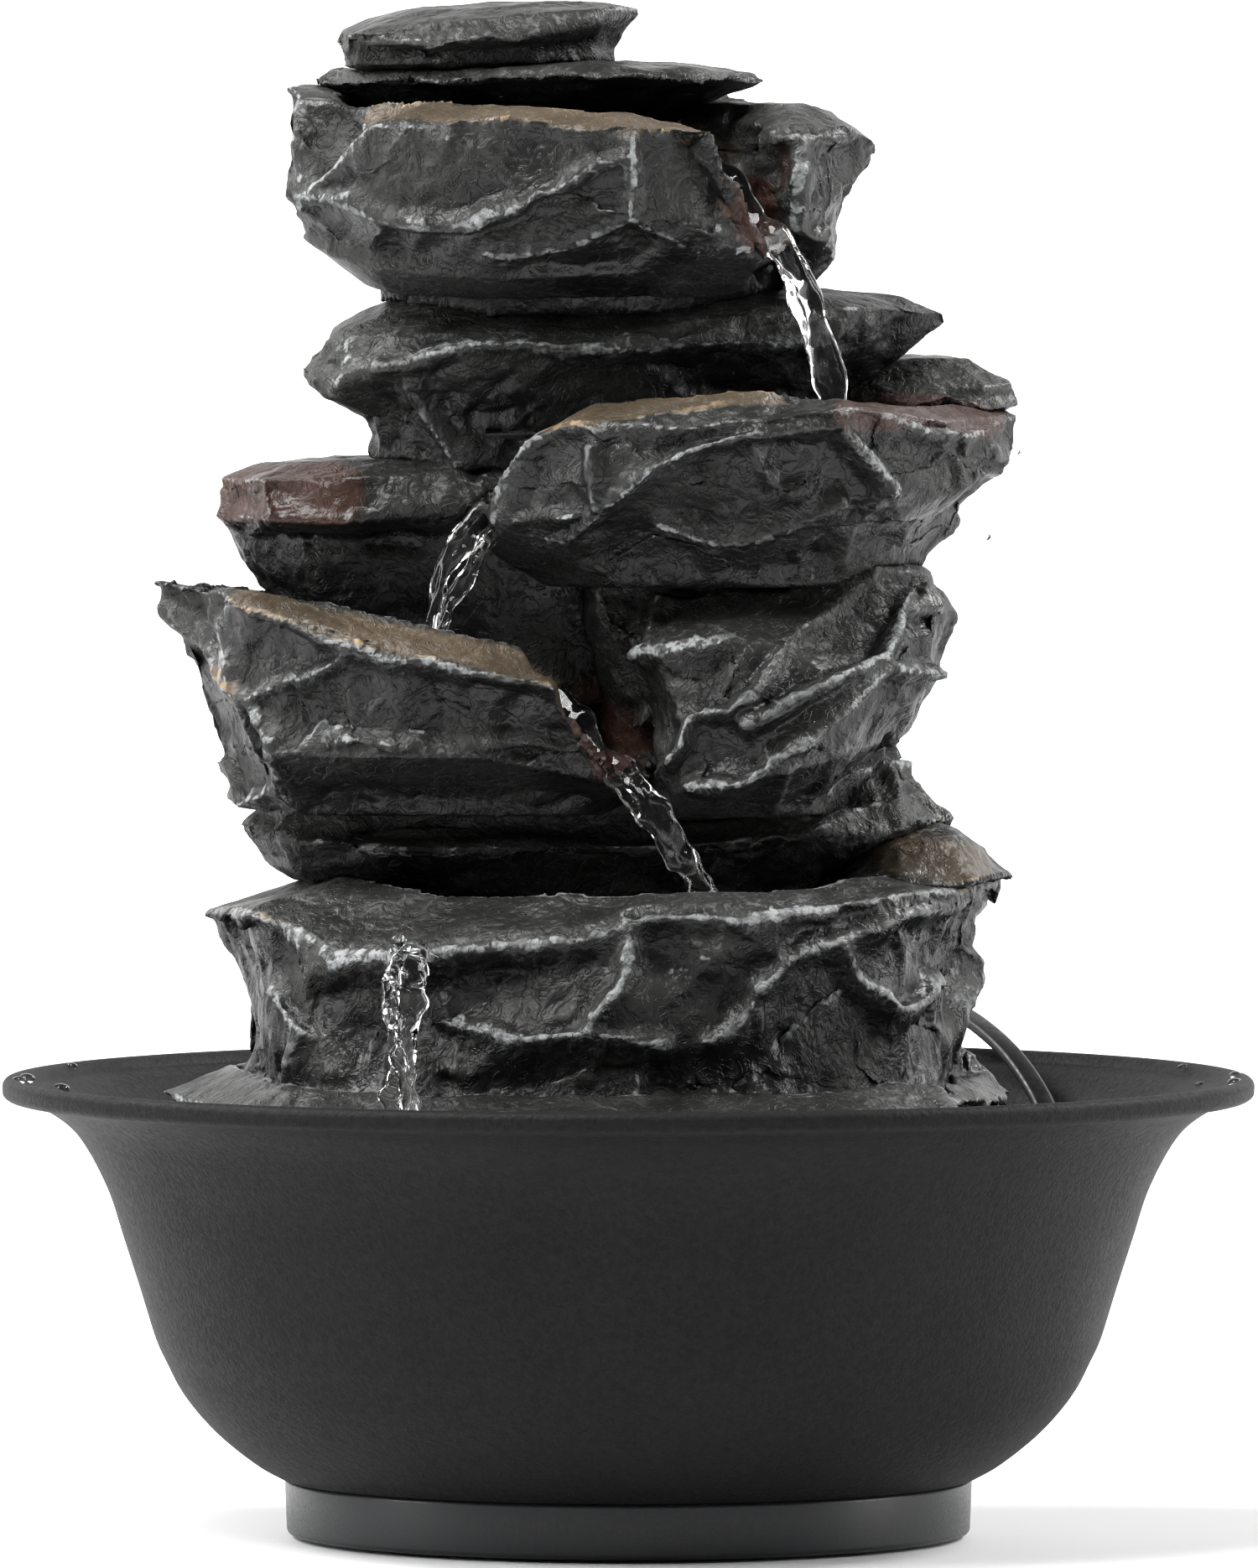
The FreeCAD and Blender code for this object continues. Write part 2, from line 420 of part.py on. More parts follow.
SPOUT_CHEEK = [
    [(28, 3, 208), (24, 12, 208), (16, 16, 208), (10, 13, 209), (9, 5, 210), (14, -2, 212),
     (20, -8, 213), (26, -12, 213), (28, -8, 211), (29, -3, 209)],
    [(33, 4, 215), (29, 16, 214), (20, 22, 214), (10, 18, 216), (8, 6, 218), (14, -5, 221),
     (22, -14, 222), (29, -21, 220.5), (33, -14, 217), (34, -4, 215)],
    [(41, 4, 230), (36, 20, 228), (22, 28, 228), (10, 22, 228), (8, 6, 228), (13, -7, 229),
     (19, -16, 229), (28.5, -24, 228), (35, -16, 226), (40, -6, 229)],
    [(42, 2, 232.5), (36, 20, 236), (22, 28, 238), (10, 22, 238), (10, 6, 237), (16, -4, 236.5),
     (21, -13, 236.2), (27.5, -22, 235.2), (36, -14, 236), (41, -6, 233.5)],
    [(34, 4, 238.5), (30, 14, 240), (20, 20, 240.5), (12, 16, 240.5), (12, 8, 240.3), (18, 0, 240.3),
     (22, -4, 240.3), (26, -8, 240), (31, -6, 239.5), (34, 0, 238.8)],
]

COVER_SLAB = [
    [(6, 14, 236), (4, 26, 236), (-8, 32, 236), (-22, 32, 236), (-34, 26, 236), (-40, 14, 236),
     (-38, 6, 236), (-28, 4, 236), (-14, 4, 236), (0, 6, 236)],
    [(16, 8, 241.5), (13, 30, 241), (-6, 40, 241), (-26, 40, 241), (-43, 30, 242), (-50, 12, 242.5),
     (-42, -4, 243), (-28, -12, 243), (-8, -14, 243.2), (10, -8, 243)],
    [(22.5, 2, 243.6), (17, 30, 244), (-4, 42, 244), (-28, 42, 244), (-46, 30, 244), (-53, 13, 244),
     (-44, -8, 243.5), (-26, -20, 243.8), (-4, -24, 244.7), (12, -18, 244.2)],
    [(21.5, 3, 245.2), (15, 28, 246), (-4, 39, 246.5), (-27, 39, 246.5), (-44, 28, 246), (-50, 12, 246),
     (-42, -6, 245.6), (-26, -17, 246), (-4, -21, 246.4), (11, -15, 246)],
    [(14, 4, 246.2), (8, 18, 247), (-6, 28, 247.4), (-24, 28, 247.4), (-36, 20, 247), (-40, 10, 247),
     (-36, -2, 247), (-24, -10, 247), (-6, -13, 247.2), (6, -9, 247)],
]

CAP_STONE = [
    [(-6, 4, 245), (-8, 14, 245), (-16, 22, 245), (-28, 22, 245), (-38, 16, 245), (-42, 6, 245),
     (-38, -4, 245), (-28, -10, 245), (-16, -10, 245), (-8, -4, 245)],
    [(-3, 3, 247), (-5, 16, 247), (-14, 26, 247), (-30, 26, 247), (-43, 18, 247), (-48, 6, 246.5),
     (-46, -7, 246.5), (-32, -14, 247), (-16, -14, 247), (-6, -8, 247)],
    [(-3, 3, 249.5), (-5, 16, 250), (-14, 26, 250), (-30, 26, 250), (-43, 18, 250), (-48.5, 6, 250.5),
     (-46.5, -8, 250), (-32, -15, 248.8), (-16, -15, 249.5), (-6, -8, 250)],
    [(-1, 3, 253), (-3, 18, 253.5), (-14, 29, 253), (-31, 29, 252), (-44, 20, 251.5), (-48.5, 6, 252),
     (-46, -10, 251), (-32, -20, 250.2), (-19, -20, 250.8), (-5, -12, 254)],
    [(1.2, 3, 255.8), (-2, 18, 256), (-14, 28, 256), (-30, 28, 255.5), (-41, 19, 255), (-44, 6, 254),
     (-42, -8, 253), (-30, -16, 254), (-18, -16, 255), (-4, -10, 256)],
    [(-4, 4, 256.9), (-7, 13, 257.2), (-15, 19, 257.4), (-26, 19, 257), (-34, 13, 256.4),
     (-37, 5, 256), (-35, -3, 255.8), (-27, -8, 256.2), (-17, -8, 256.8), (-8, -4, 257)],
]

STONES = {
    "base_rock": BASE_ROCK,
    "shoulder_stone": SHOULDER_STONE,
    "lower_ledge_stone": LOWER_LEDGE,
    "left_basin_rock": LEFT_BASIN,
    "right_boulder": RIGHT_BOULDER,
    "left_slab_stone": LEFT_SLAB,
    "right_basin_rock": RIGHT_BASIN,
    "back_rim_stone": BACK_RIM_STONE,
    "upper_ledge_stone": UPPER_LEDGE,
    "top_basin_rock": TOP_BASIN,
    "spout_cheek_stone": SPOUT_CHEEK,
    "cover_slab": COVER_SLAB,
    "cap_stone": CAP_STONE,
}

SEAT_PAD_PLACES = [(-46, 2), (-18, -38), (20, -38), (38, -10), (-12, 40)]

# Outside of the bowl from the foot up to the lip: (radius, height above the foot)
BOWL_OUTSIDE = [(58.2, 0.0), (62.5, 2.4), (68, 6.7), (72.1, 10.9), (75.2, 15.1), (77.4, 19.4),
                (79.3, 23.6), (81.9, 32.0), (84.6, 40.4), (87.4, 48.9), (92.0, 57.3), (96.8, 61.5),
                (101.9, 63.3)]


# ---------------------------------------------------------------- bowl and foot


def bowl_point(radius, rise):
    """A point of the bowl's outside at its real size: (radius, height above the table)."""
    reference = BOWL_OUTSIDE[-1][1]
    return radius * PLAN, FOOT_HEIGHT + rise * (BOWL_HEIGHT - LIP_DROP - FOOT_HEIGHT) / reference


def inside_of(points, wall):
    """The points moved square to the line through their neighbours, to the inside of the wall."""
    moved = []
    for i, (r, z) in enumerate(points):
        r0, z0 = points[max(i - 1, 0)]
        r1, z1 = points[min(i + 1, len(points) - 1)]
        run = math.hypot(r1 - r0, z1 - z0)
        moved.append((r - wall * (z1 - z0) / run, z + wall * (r1 - r0) / run))
    return moved


def make_bowl():
    """The reservoir: a thin flared shell with a rolled lip, and a locating rib under its floor."""
    outside = [bowl_point(*p) for p in BOWL_OUTSIDE]
    inside = inside_of(outside, BOWL_WALL)[1:]
    inside[0] = (outside[0][0], FLOOR_Z)
    lip_low = Vector(outside[-1][0], 0, outside[-1][1])
    lip_tip = Vector(RIM_RADIUS, 0, BOWL_HEIGHT - LIP_TIP)
    lip_top = Vector(RIM_RADIUS - LIP_RETURN, 0, BOWL_HEIGHT)
    lip_in = Vector(inside[-1][0], 0, inside[-1][1])
    foot = outside[0][0]
    shell = lathe([
        Part.makeLine(Vector(0, 0, FOOT_HEIGHT), Vector(foot, 0, FOOT_HEIGHT)),
        spline(outside).toShape(),
        Part.Arc(lip_low, lip_tip, lip_top).toShape(),
        Part.makeLine(lip_top, lip_in),
        spline(inside[::-1]).toShape(),
        Part.makeLine(Vector(inside[0][0], 0, FLOOR_Z), Vector(0, 0, FLOOR_Z)),
        Part.makeLine(Vector(0, 0, FLOOR_Z), Vector(0, 0, FOOT_HEIGHT)),
    ])
    rib_outside = FOOT_RADIUS - FOOT_WALL - FOOT_RIB_GAP
    rib = rod(rib_outside, FOOT_RIB_HEIGHT, (0, 0, FOOT_HEIGHT - FOOT_RIB_HEIGHT), (0, 0, 1))
    core = rod(rib_outside - FOOT_RIB_WALL, FOOT_RIB_HEIGHT, (0, 0, FOOT_HEIGHT - FOOT_RIB_HEIGHT),
               (0, 0, 1))
    return shell.fuse(rib.cut(core)).removeSplitter()


def feet_places():
    """Middles of the rubber feet, on the foot ring's flange."""
    radius = FOOT_RADIUS - FOOT_WALL - FLANGE_WIDTH / 2.0
    angles = [math.radians(45 + 360.0 * i / FEET_COUNT) for i in range(FEET_COUNT)]
    return [(radius * math.cos(a), radius * math.sin(a)) for a in angles]


def make_foot_ring():
    """The plinth under the bowl: a slightly tapered ring with an inward flange."""
    bottom = FEET_PROUD
    narrow = FOOT_RADIUS - FOOT_DRAFT
    inner = FOOT_RADIUS - FOOT_WALL
    outline = [(inner - FLANGE_WIDTH, bottom), (narrow - FOOT_EDGE, bottom), (narrow, bottom + FOOT_EDGE),
               (FOOT_RADIUS, FOOT_HEIGHT), (inner, FOOT_HEIGHT), (inner, bottom + FLANGE_THICKNESS),
               (inner - FLANGE_WIDTH, bottom + FLANGE_THICKNESS)]
    corners = [Vector(r, 0, z) for r, z in outline]
    ring = lathe(Part.makePolygon([*corners, corners[0]]).Edges)
    for x, y in feet_places():
        ring = ring.cut(rod(FEET_RADIUS, FEET_HEIGHT - FEET_PROUD, (x, y, bottom), (0, 0, 1)))
    return ring


def make_rubber_feet():
    """Rubber pads let into the flange, which the fountain stands on."""
    pads = [rod(FEET_RADIUS, FEET_HEIGHT, (x, y, 0), (0, 0, 1)) for x, y in feet_places()]
    return Part.makeCompound([pad.makeFillet(FEET_EDGE, [pad.Edges[2]]) for pad in pads])


# ---------------------------------------------------------------- cascade


def hollow():
    """The room under the base stone, wide enough to lift the cascade straight off the pump."""
    room = box(DIAL_LEFT - COVER_TRAVEL - HOLLOW_END_GAP, HOLLOW_FRONT, SEAT_Z - UNDERCUT,
               GLAND_END + HOLLOW_SIDE_GAP, PUMP_REAR + HOLLOW_SIDE_GAP, height(HOLLOW_TOP))
    upright = [e for e in room.Edges if abs(e.tangentAt(e.FirstParameter).z) > 0.9]
    return room.makeFillet(HOLLOW_CORNER, upright)


def notch():
    """The lead's way out through the base stone's right-hand side."""
    half = NOTCH_WIDTH / 2.0
    return box(GLAND_END, PUMP_Y - half, SEAT_Z - UNDERCUT, RIM_RADIUS, PUMP_Y + half,
               LEAD_Z + NOTCH_ROOM)


def laid_stones():
    """The stones, each cut to seat on those laid before it, bored for the riser tube."""
    laid = {}
    for name, rings in STONES.items():
        stone = stone_solid(rings)
        for below in laid.values():
            if stone.BoundBox.intersect(below.BoundBox):
                stone = stone.cut(below)
        laid[name] = max(stone.Solids, key=lambda solid: solid.Volume)
    laid["base_rock"] = laid["base_rock"].cut(hollow()).cut(notch())
    bore = rod(TUBE_RADIUS + BORE_CLEARANCE, height(BORE_TOP) - SEAT_Z, (*TUBE_AXIS, SEAT_Z), (0, 0, 1))
    for name, stone in laid.items():
        if name not in ("cover_slab", "cap_stone") and stone.BoundBox.intersect(bore.BoundBox):
            laid[name] = max(stone.cut(bore).Solids, key=lambda solid: solid.Volume)
    return laid


def make_riser_tube():
    """The clear tube from the pump's nozzle up to the top basin's floor."""
    low = NOZZLE_TOP - TUBE_OVERLAP
    long = height(TOP_POOL_FLOOR) + TUBE_STAND - low
    outside = rod(TUBE_RADIUS, long, (*TUBE_AXIS, low), (0, 0, 1))
    return outside.cut(rod(TUBE_BORE_RADIUS, long, (*TUBE_AXIS, low), (0, 0, 1)))


def make_tube_grommet():
    """A rubber ring under the hollow's roof, round the riser tube."""
    low = height(HOLLOW_TOP) - GROMMET_HEIGHT
    ring = rod(TUBE_RADIUS + GROMMET_FLANGE, GROMMET_HEIGHT, (*TUBE_AXIS, low), (0, 0, 1))
    return ring.cut(rod(TUBE_RADIUS, GROMMET_HEIGHT, (*TUBE_AXIS, low), (0, 0, 1)))


def make_seat_pads():
    """Foam pads under the base stone, which lift its edge so that water runs under it."""
    return Part.makeCompound([rod(SEAT_PAD_RADIUS, SEAT_PAD_HEIGHT, (x * PLAN, y * PLAN, FLOOR_Z),
                                  (0, 0, 1)) for x, y in SEAT_PAD_PLACES])


# ---------------------------------------------------------------- pump


def along_x(radius, x0, x1):
    """A round bar on the rotor's axis between two places along X."""
    return rod(radius, x1 - x0, (x0, PUMP_Y, ROTOR_Z), (1, 0, 0))


def make_pump_housing():
    """Motor block and volute in one moulding, with the rotor's well and the outlet nozzle."""
    body = softened(box(VOLUTE_LEFT, PUMP_FRONT, PUMP_BOTTOM, MOTOR_RIGHT, PUMP_REAR, PUMP_TOP),
                    PUMP_CORNER)
    square = box(VOLUTE_LEFT, PUMP_FRONT, PUMP_BOTTOM, VOLUTE_LEFT + PUMP_CORNER, PUMP_REAR, PUMP_TOP)
    body = body.fuse(box(MOTOR_RIGHT - PUMP_CORNER, PUMP_FRONT + PUMP_CORNER, PUMP_BOTTOM + PUMP_CORNER,
                         MOTOR_RIGHT, PUMP_REAR - PUMP_CORNER, PUMP_TOP - PUMP_CORNER))
    body = body.fuse(square.makeFillet(PUMP_CORNER, [e for e in square.Edges
                                                     if abs(e.tangentAt(0).x) > 0.9]))
    room = box(MOTOR_LEFT, PUMP_FRONT + PUMP_WALL, PUMP_BOTTOM + PUMP_FLOOR, MOTOR_RIGHT,
               PUMP_REAR - PUMP_WALL, PUMP_TOP - PUMP_WALL)
    can = along_x(CAN_OUTSIDE, MOTOR_LEFT, CAN_END)
    body = body.cut(room).fuse(can)
    body = body.fuse(rod(NOZZLE_RADIUS, NOZZLE_LENGTH + UNDERCUT, (*TUBE_AXIS, PUMP_TOP - UNDERCUT),
                         (0, 0, 1)))
    body = body.cut(along_x(CHAMBER_RADIUS, VOLUTE_LEFT, CHAMBER_RIGHT))
    body = body.cut(along_x(CAN_RADIUS, CHAMBER_RIGHT, CAN_END - CAN_WALL))
    body = body.cut(rod(NOZZLE_BORE_RADIUS, NOZZLE_TOP - ROTOR_Z, (*TUBE_AXIS, ROTOR_Z), (0, 0, 1)))
    for x, y in cup_places():
        body = body.cut(rod(CUP_STEM_RADIUS, CUP_STEM_DEPTH, (x, y, PUMP_BOTTOM), (0, 0, 1)))
    return body.removeSplitter()


def cup_places():
    """Middles of the suction cups under the pump."""
    return [(x, y) for x in (VOLUTE_LEFT + CUP_INSET, MOTOR_RIGHT - CUP_INSET)
            for y in (PUMP_FRONT + CUP_INSET, PUMP_REAR - CUP_INSET)]


def make_suction_cups():
    """Four rubber cups: a hollow skirt on the bowl's floor, and a stem pushed into the pump."""
    def cup(x, y):
        skirt = Part.makeCone(CUP_RADIUS, CUP_STEM_RADIUS, PUMP_STANDOFF, Vector(x, y, FLOOR_Z))
        hole = Part.makeCone(CUP_RADIUS - CUP_WALL, CUP_TIP_RADIUS, PUMP_STANDOFF - CUP_ROOF,
                             Vector(x, y, FLOOR_Z))
        stem = rod(CUP_STEM_RADIUS, CUP_STEM_DEPTH, (x, y, PUMP_BOTTOM), (0, 0, 1))
        return skirt.fuse(stem).cut(hole)

    return Part.makeCompound([cup(x, y) for x, y in cup_places()])


def make_intake_cover():
    """The cover on the volute: slotted face, room for the sponge, eye plate and spigot."""
    shell = box(COVER_LEFT, PUMP_FRONT, PUMP_BOTTOM, VOLUTE_LEFT, PUMP_REAR, PUMP_TOP)
    shell = shell.makeFillet(PUMP_CORNER, [e for e in shell.Edges
                                           if abs(e.tangentAt(e.FirstParameter).x) > 0.9])
    shell = shell.cut(sponge_room())
    lip = along_x(CHAMBER_RADIUS - COVER_GAP, VOLUTE_LEFT, VOLUTE_LEFT + COVER_LIP)
    lip = lip.cut(along_x(CHAMBER_RADIUS - COVER_GAP - COVER_LIP_WALL, VOLUTE_LEFT,
                          VOLUTE_LEFT + COVER_LIP))
    eye = along_x(EYE_RADIUS, VOLUTE_LEFT - COVER_WALL, VOLUTE_LEFT)
    spoke = box(VOLUTE_LEFT - COVER_WALL, PUMP_Y - EYE_SPOKE / 2.0, ROTOR_Z - EYE_RADIUS,
                VOLUTE_LEFT, PUMP_Y + EYE_SPOKE / 2.0, ROTOR_Z + EYE_RADIUS)
    carrier = spoke.fuse(along_x(BUSH_RADIUS + EYE_BOSS, VOLUTE_LEFT - COVER_WALL, VOLUTE_LEFT))
    shell = shell.fuse(lip).cut(eye.cut(carrier))
    shell = shell.cut(along_x(BUSH_RADIUS, VOLUTE_LEFT - BUSH_LENGTH, VOLUTE_LEFT))
    shell = shell.cut(along_x(DIAL_STEM_RADIUS + DIAL_GAP, COVER_LEFT, COVER_LEFT + COVER_WALL))
    pitch = (PUMP_WIDTH - 2.0 * PUMP_CORNER) / SLOT_COUNT
    keep = along_x(DIAL_RADIUS + DIAL_LAND, COVER_LEFT, COVER_LEFT + COVER_WALL)
    for i in range(SLOT_COUNT):
        y = PUMP_Y + (i - (SLOT_COUNT - 1) / 2.0) * pitch
        slot = box(COVER_LEFT, y - SLOT_WIDTH / 2.0, PUMP_BOTTOM + SLOT_MARGIN,
                   COVER_LEFT + COVER_WALL, y + SLOT_WIDTH / 2.0, PUMP_TOP - SLOT_MARGIN)
        shell = shell.cut(slot.cut(keep))
    return shell


def sponge_room():
    """The space inside the intake cover."""
    return box(COVER_LEFT + COVER_WALL, PUMP_FRONT + COVER_WALL, PUMP_BOTTOM + COVER_WALL,
               VOLUTE_LEFT - COVER_WALL, PUMP_REAR - COVER_WALL, PUMP_TOP - COVER_WALL)


def make_intake_sponge():
    """The filter pad that fills the intake cover, holed for the dial's stem."""
    return sponge_room().cut(along_x(DIAL_STEM_RADIUS + DIAL_STEM_PROUD, COVER_LEFT, VOLUTE_LEFT))


def make_flow_dial():
    """The dial on the cover's face, with a grip bar and a stem through the face."""
    disc = along_x(DIAL_RADIUS, COVER_LEFT - DIAL_THICKNESS, COVER_LEFT - DIAL_GAP)
    across, high, _ = DIAL_GRIP
    grip = box(DIAL_LEFT, PUMP_Y - across / 2.0, ROTOR_Z - high / 2.0, COVER_LEFT - DIAL_THICKNESS,
               PUMP_Y + across / 2.0, ROTOR_Z + high / 2.0)
    stem = along_x(DIAL_STEM_RADIUS, COVER_LEFT - DIAL_THICKNESS, COVER_LEFT + COVER_WALL + DIAL_STEM_PROUD)
    return disc.fuse([grip, stem]).removeSplitter()


def bush(x0):
    """A short plain bearing for the rotor's shaft."""
    return along_x(BUSH_RADIUS, x0, x0 + BUSH_LENGTH).cut(along_x(SHAFT_RADIUS + SHAFT_GAP, x0,
                                                                  x0 + BUSH_LENGTH))


def make_impeller_shaft():
    """The fixed ceramic shaft, from the well's end to the cover's bush."""
    return along_x(SHAFT_RADIUS, VOLUTE_LEFT - BUSH_LENGTH + SHAFT_END_GAP, CAN_END - CAN_WALL)


def rotor_bore(x0, x1):
    """The hole through the turning pieces for the shaft."""
    return along_x(SHAFT_RADIUS + SHAFT_GAP, x0, x1)


def make_magnet_rotor():
    """The rotor's magnet, in the well."""
    left = CHAMBER_RIGHT + VOLUTE_BACK
    right = CAN_END - CAN_WALL - BUSH_LENGTH - ROTOR_END_GAP
    return along_x(MAGNET_RADIUS, left, right).cut(rotor_bore(left, right))


def make_impeller():
    """The impeller: hub, back plate and straight blades, joined to the magnet."""
    magnet_left = CHAMBER_RIGHT + VOLUTE_BACK
    plate_right = CHAMBER_RIGHT - ROTOR_END_GAP
    plate_left = plate_right - IMPELLER_PLATE
    tip = plate_left - BLADE_HEIGHT
    radius = CHAMBER_RADIUS - IMPELLER_GAP
    wheel = along_x(radius, plate_left, plate_right).fuse(along_x(HUB_RADIUS, tip, magnet_left))
    for i in range(BLADE_COUNT):
        blade = box(tip, PUMP_Y - BLADE_THICKNESS / 2.0, ROTOR_Z, plate_left,
                    PUMP_Y + BLADE_THICKNESS / 2.0, ROTOR_Z + radius - COVER_LIP_WALL)
        blade.rotate(Vector(*ROTOR_AXIS), Vector(1, 0, 0), 360.0 * i / BLADE_COUNT)
        wheel = wheel.fuse(blade)
    return wheel.cut(rotor_bore(tip, magnet_left)).removeSplitter()


def core_span():
    """Where the stator lies along X, and how far its yoke and winding may reach up."""
    left = MOTOR_LEFT + CORE_START
    right = CAN_END - CAN_WALL
    low = PUMP_BOTTOM + PUMP_FLOOR
    return left, right, low, ROTOR_Z - CAN_OUTSIDE - low


def yoke(left, right, low, room):
    """The stator's bottom bar, which carries the winding."""
    reach = PUMP_WIDTH / 2.0 - PUMP_WALL - CORE_GAP
    from_share, to_share = YOKE_SHARE
    return box(left, PUMP_Y - reach, low + room * from_share, right, PUMP_Y + reach,
               low + room * to_share)


def make_stator_core():
    """A U-shaped stack of laminations: two poles beside the rotor's well, and a bar under it."""
    left, right, low, room = core_span()
    reach = PUMP_WIDTH / 2.0 - PUMP_WALL - CORE_GAP
    from_share, to_share = YOKE_SHARE
    poles = box(left, PUMP_Y - reach, low + room * from_share, right, PUMP_Y + reach,
                ROTOR_Z + CAN_RADIUS)
    inner = reach - CORE_LIMB
    window = box(left, PUMP_Y - inner, low + room * to_share, right, PUMP_Y + inner,
                 ROTOR_Z + CAN_RADIUS)
    return poles.cut(window).cut(along_x(CAN_OUTSIDE + CORE_GAP, left, right))


def make_stator_winding():
    """The winding round the stator's bottom bar."""
    left, right, low, room = core_span()
    reach = PUMP_WIDTH / 2.0 - PUMP_WALL - CORE_LIMB - WINDING_GAP - CORE_GAP
    past_left, past_right = WINDING_OVERHANG
    block = box(left - past_left, PUMP_Y - reach, low + WINDING_GAP, right + past_right,
                PUMP_Y + reach, low + room - WINDING_GAP)
    return block.makeFillet(WINDING_EDGE, [e for e in block.Edges if abs(e.tangentAt(0).y) > 0.9]).cut(
        yoke(left, right, low, room))


def make_motor_cap():
    """The potted plate that closes the motor block, holed for the gland."""
    plate = box(MOTOR_RIGHT - CAP_THICKNESS, PUMP_FRONT + PUMP_WALL, PUMP_BOTTOM + PUMP_FLOOR,
                MOTOR_RIGHT, PUMP_REAR - PUMP_WALL, PUMP_TOP - PUMP_WALL)
    return plate.cut(lead_bar(GLAND_RADIUS, MOTOR_RIGHT - CAP_THICKNESS, MOTOR_RIGHT))


def lead_bar(radius, x0, x1):
    """A round bar on the gland's axis."""
    return rod(radius, x1 - x0, (x0, PUMP_Y, LEAD_Z), (1, 0, 0))


def make_cord_gland():
    """The rubber gland that the lead comes out of."""
    sleeve = lead_bar(GLAND_RADIUS, MOTOR_RIGHT - CAP_THICKNESS, MOTOR_RIGHT)
    nose = Part.makeCone(GLAND_RADIUS, CORD_DIAMETER / 2.0 + GLAND_END_WALL, GLAND_LENGTH,
                         Vector(MOTOR_RIGHT, PUMP_Y, LEAD_Z), Vector(1, 0, 0))
    return sleeve.fuse(nose)


# ---------------------------------------------------------------- lead and adapter

# The lead's route, from the gland over the bowl's rear rim and down to the table, then from the coil
# to the adapter.
LEAD_ROUTE = [(27, 14, 32.7), (43, 14.4, 32.7), (59, 17, 38), (70, 24, 52), (73, 35, 66),
              (67, 52, 76.5), (60, 70, 82.5), (52, 90, 86), (45, 107, 80), (42, 118, 64),
              (40, 123, 46), (40, 126, 28), (40.5, 133, 12), (41, 147, 4), (41, 162, 6)]
TAIL_ROUTE = [(14, 188.3, 6), (-3, 189.5, 5), (-16, 187, 4.2), (-29, 180, 6.5), (-36.2, 170.5, 10),
              (-38, 158, 12)]


def tube_path(points):
    """Straight runs joined by tangent arcs, as large as the two runs at each point allow."""
    corners = [Vector(*p) for p in points]
    edges = []
    start = corners[0]
    for before, corner, after in zip(corners, corners[1:], corners[2:]):
        run_in, run_out = corner - before, after - corner
        half_turn = run_in.getAngle(run_out) / 2.0
        cut = BEND_SHARE * min(run_in.Length, run_out.Length)
        into, out_of = Vector(run_in).normalize(), Vector(run_out).normalize()
        first, last = corner - into * cut, corner + out_of * cut
        radius = cut / math.tan(half_turn)
        inward = (out_of - into).normalize()
        middle = corner + inward * (radius / math.cos(half_turn) - radius)
        print("lead radius %.1f mm" % radius)
        edges += [Part.makeLine(start, first), Part.Arc(first, middle, last).toShape()]
        start = last
    edges.append(Part.makeLine(start, corners[-1]))
    return Part.Wire(edges)


def lead(points):
    """A round tube along a route."""
    path = tube_path(points)
    start = Vector(*points[0])
    section = Part.Wire(Part.makeCircle(CORD_DIAMETER / 2.0, start, Vector(*points[1]) - start))
    tube = path.makePipeShell([section], True, False)
    print("lead length %.0f mm, volume over section %.0f mm" % (
        path.Length, tube.Volume / (math.pi * CORD_DIAMETER ** 2 / 4.0)))
    return tube


def ring_of(inner, outer, low, high):
    """A square-cut ring about the coil's axis."""
    x, y = COIL_CENTRE
    disc = rod(outer, high - low, (x, y, low), (0, 0, 1))
    return disc.cut(rod(inner, high - low, (x, y, low), (0, 0, 1)))


def make_cord_coil():
    """The put-away turns: one ring of the bundle's outer shape."""
    half = COIL_WIDTH / 2.0
    ring = ring_of(COIL_MEAN_RADIUS - half, COIL_MEAN_RADIUS + half, 0, COIL_HEIGHT)
    return softened(ring, COIL_CORNER)


def make_coil_tie():
    """The twisted tie round the turns, at the coil's far side."""
    x, y = COIL_CENTRE
    half = COIL_WIDTH / 2.0
    middle = y + COIL_MEAN_RADIUS
    band = box(x - TIE_WIDTH / 2.0, middle - half - TIE_WALL, 0, x + TIE_WIDTH / 2.0,
               middle + half + TIE_WALL, COIL_HEIGHT + TIE_WALL)
    return band.cut(make_cord_coil())


def make_adapter_body():
    """The plug-in adapter, lying on its side, with the relief's seat in one end."""
    width, long, high = ADAPTER_SIZE
    x, y = ADAPTER_CENTRE
    block = box(x - width / 2.0, y - long / 2.0, 0, x + width / 2.0, y + long / 2.0, high)
    return softened(block, ADAPTER_CORNER)


def make_adapter_relief():
    """The moulded strain relief between the adapter and the lead."""
    x, y = ADAPTER_CENTRE
    end = y + ADAPTER_SIZE[1] / 2.0
    return Part.makeCone(RELIEF_RADIUS, CORD_DIAMETER / 2.0 + RELIEF_END_WALL, RELIEF_LENGTH,
                         Vector(x, end, ADAPTER_SIZE[2] / 2.0), Vector(0, 1, 0))


def make_adapter_pins():
    """Two flat pins in the adapter's other end."""
    thick, out, deep = BLADE_PIN
    x, y = ADAPTER_CENTRE
    end = y - ADAPTER_SIZE[1] / 2.0
    middle = ADAPTER_SIZE[2] / 2.0
    return Part.makeCompound([box(x + side - thick / 2.0, end - out, middle - deep / 2.0,
                                  x + side + thick / 2.0, end, middle + deep / 2.0)
                              for side in (-BLADE_PIN_SPACING / 2.0, BLADE_PIN_SPACING / 2.0)])


# ---------------------------------------------------------------- the whole fountain


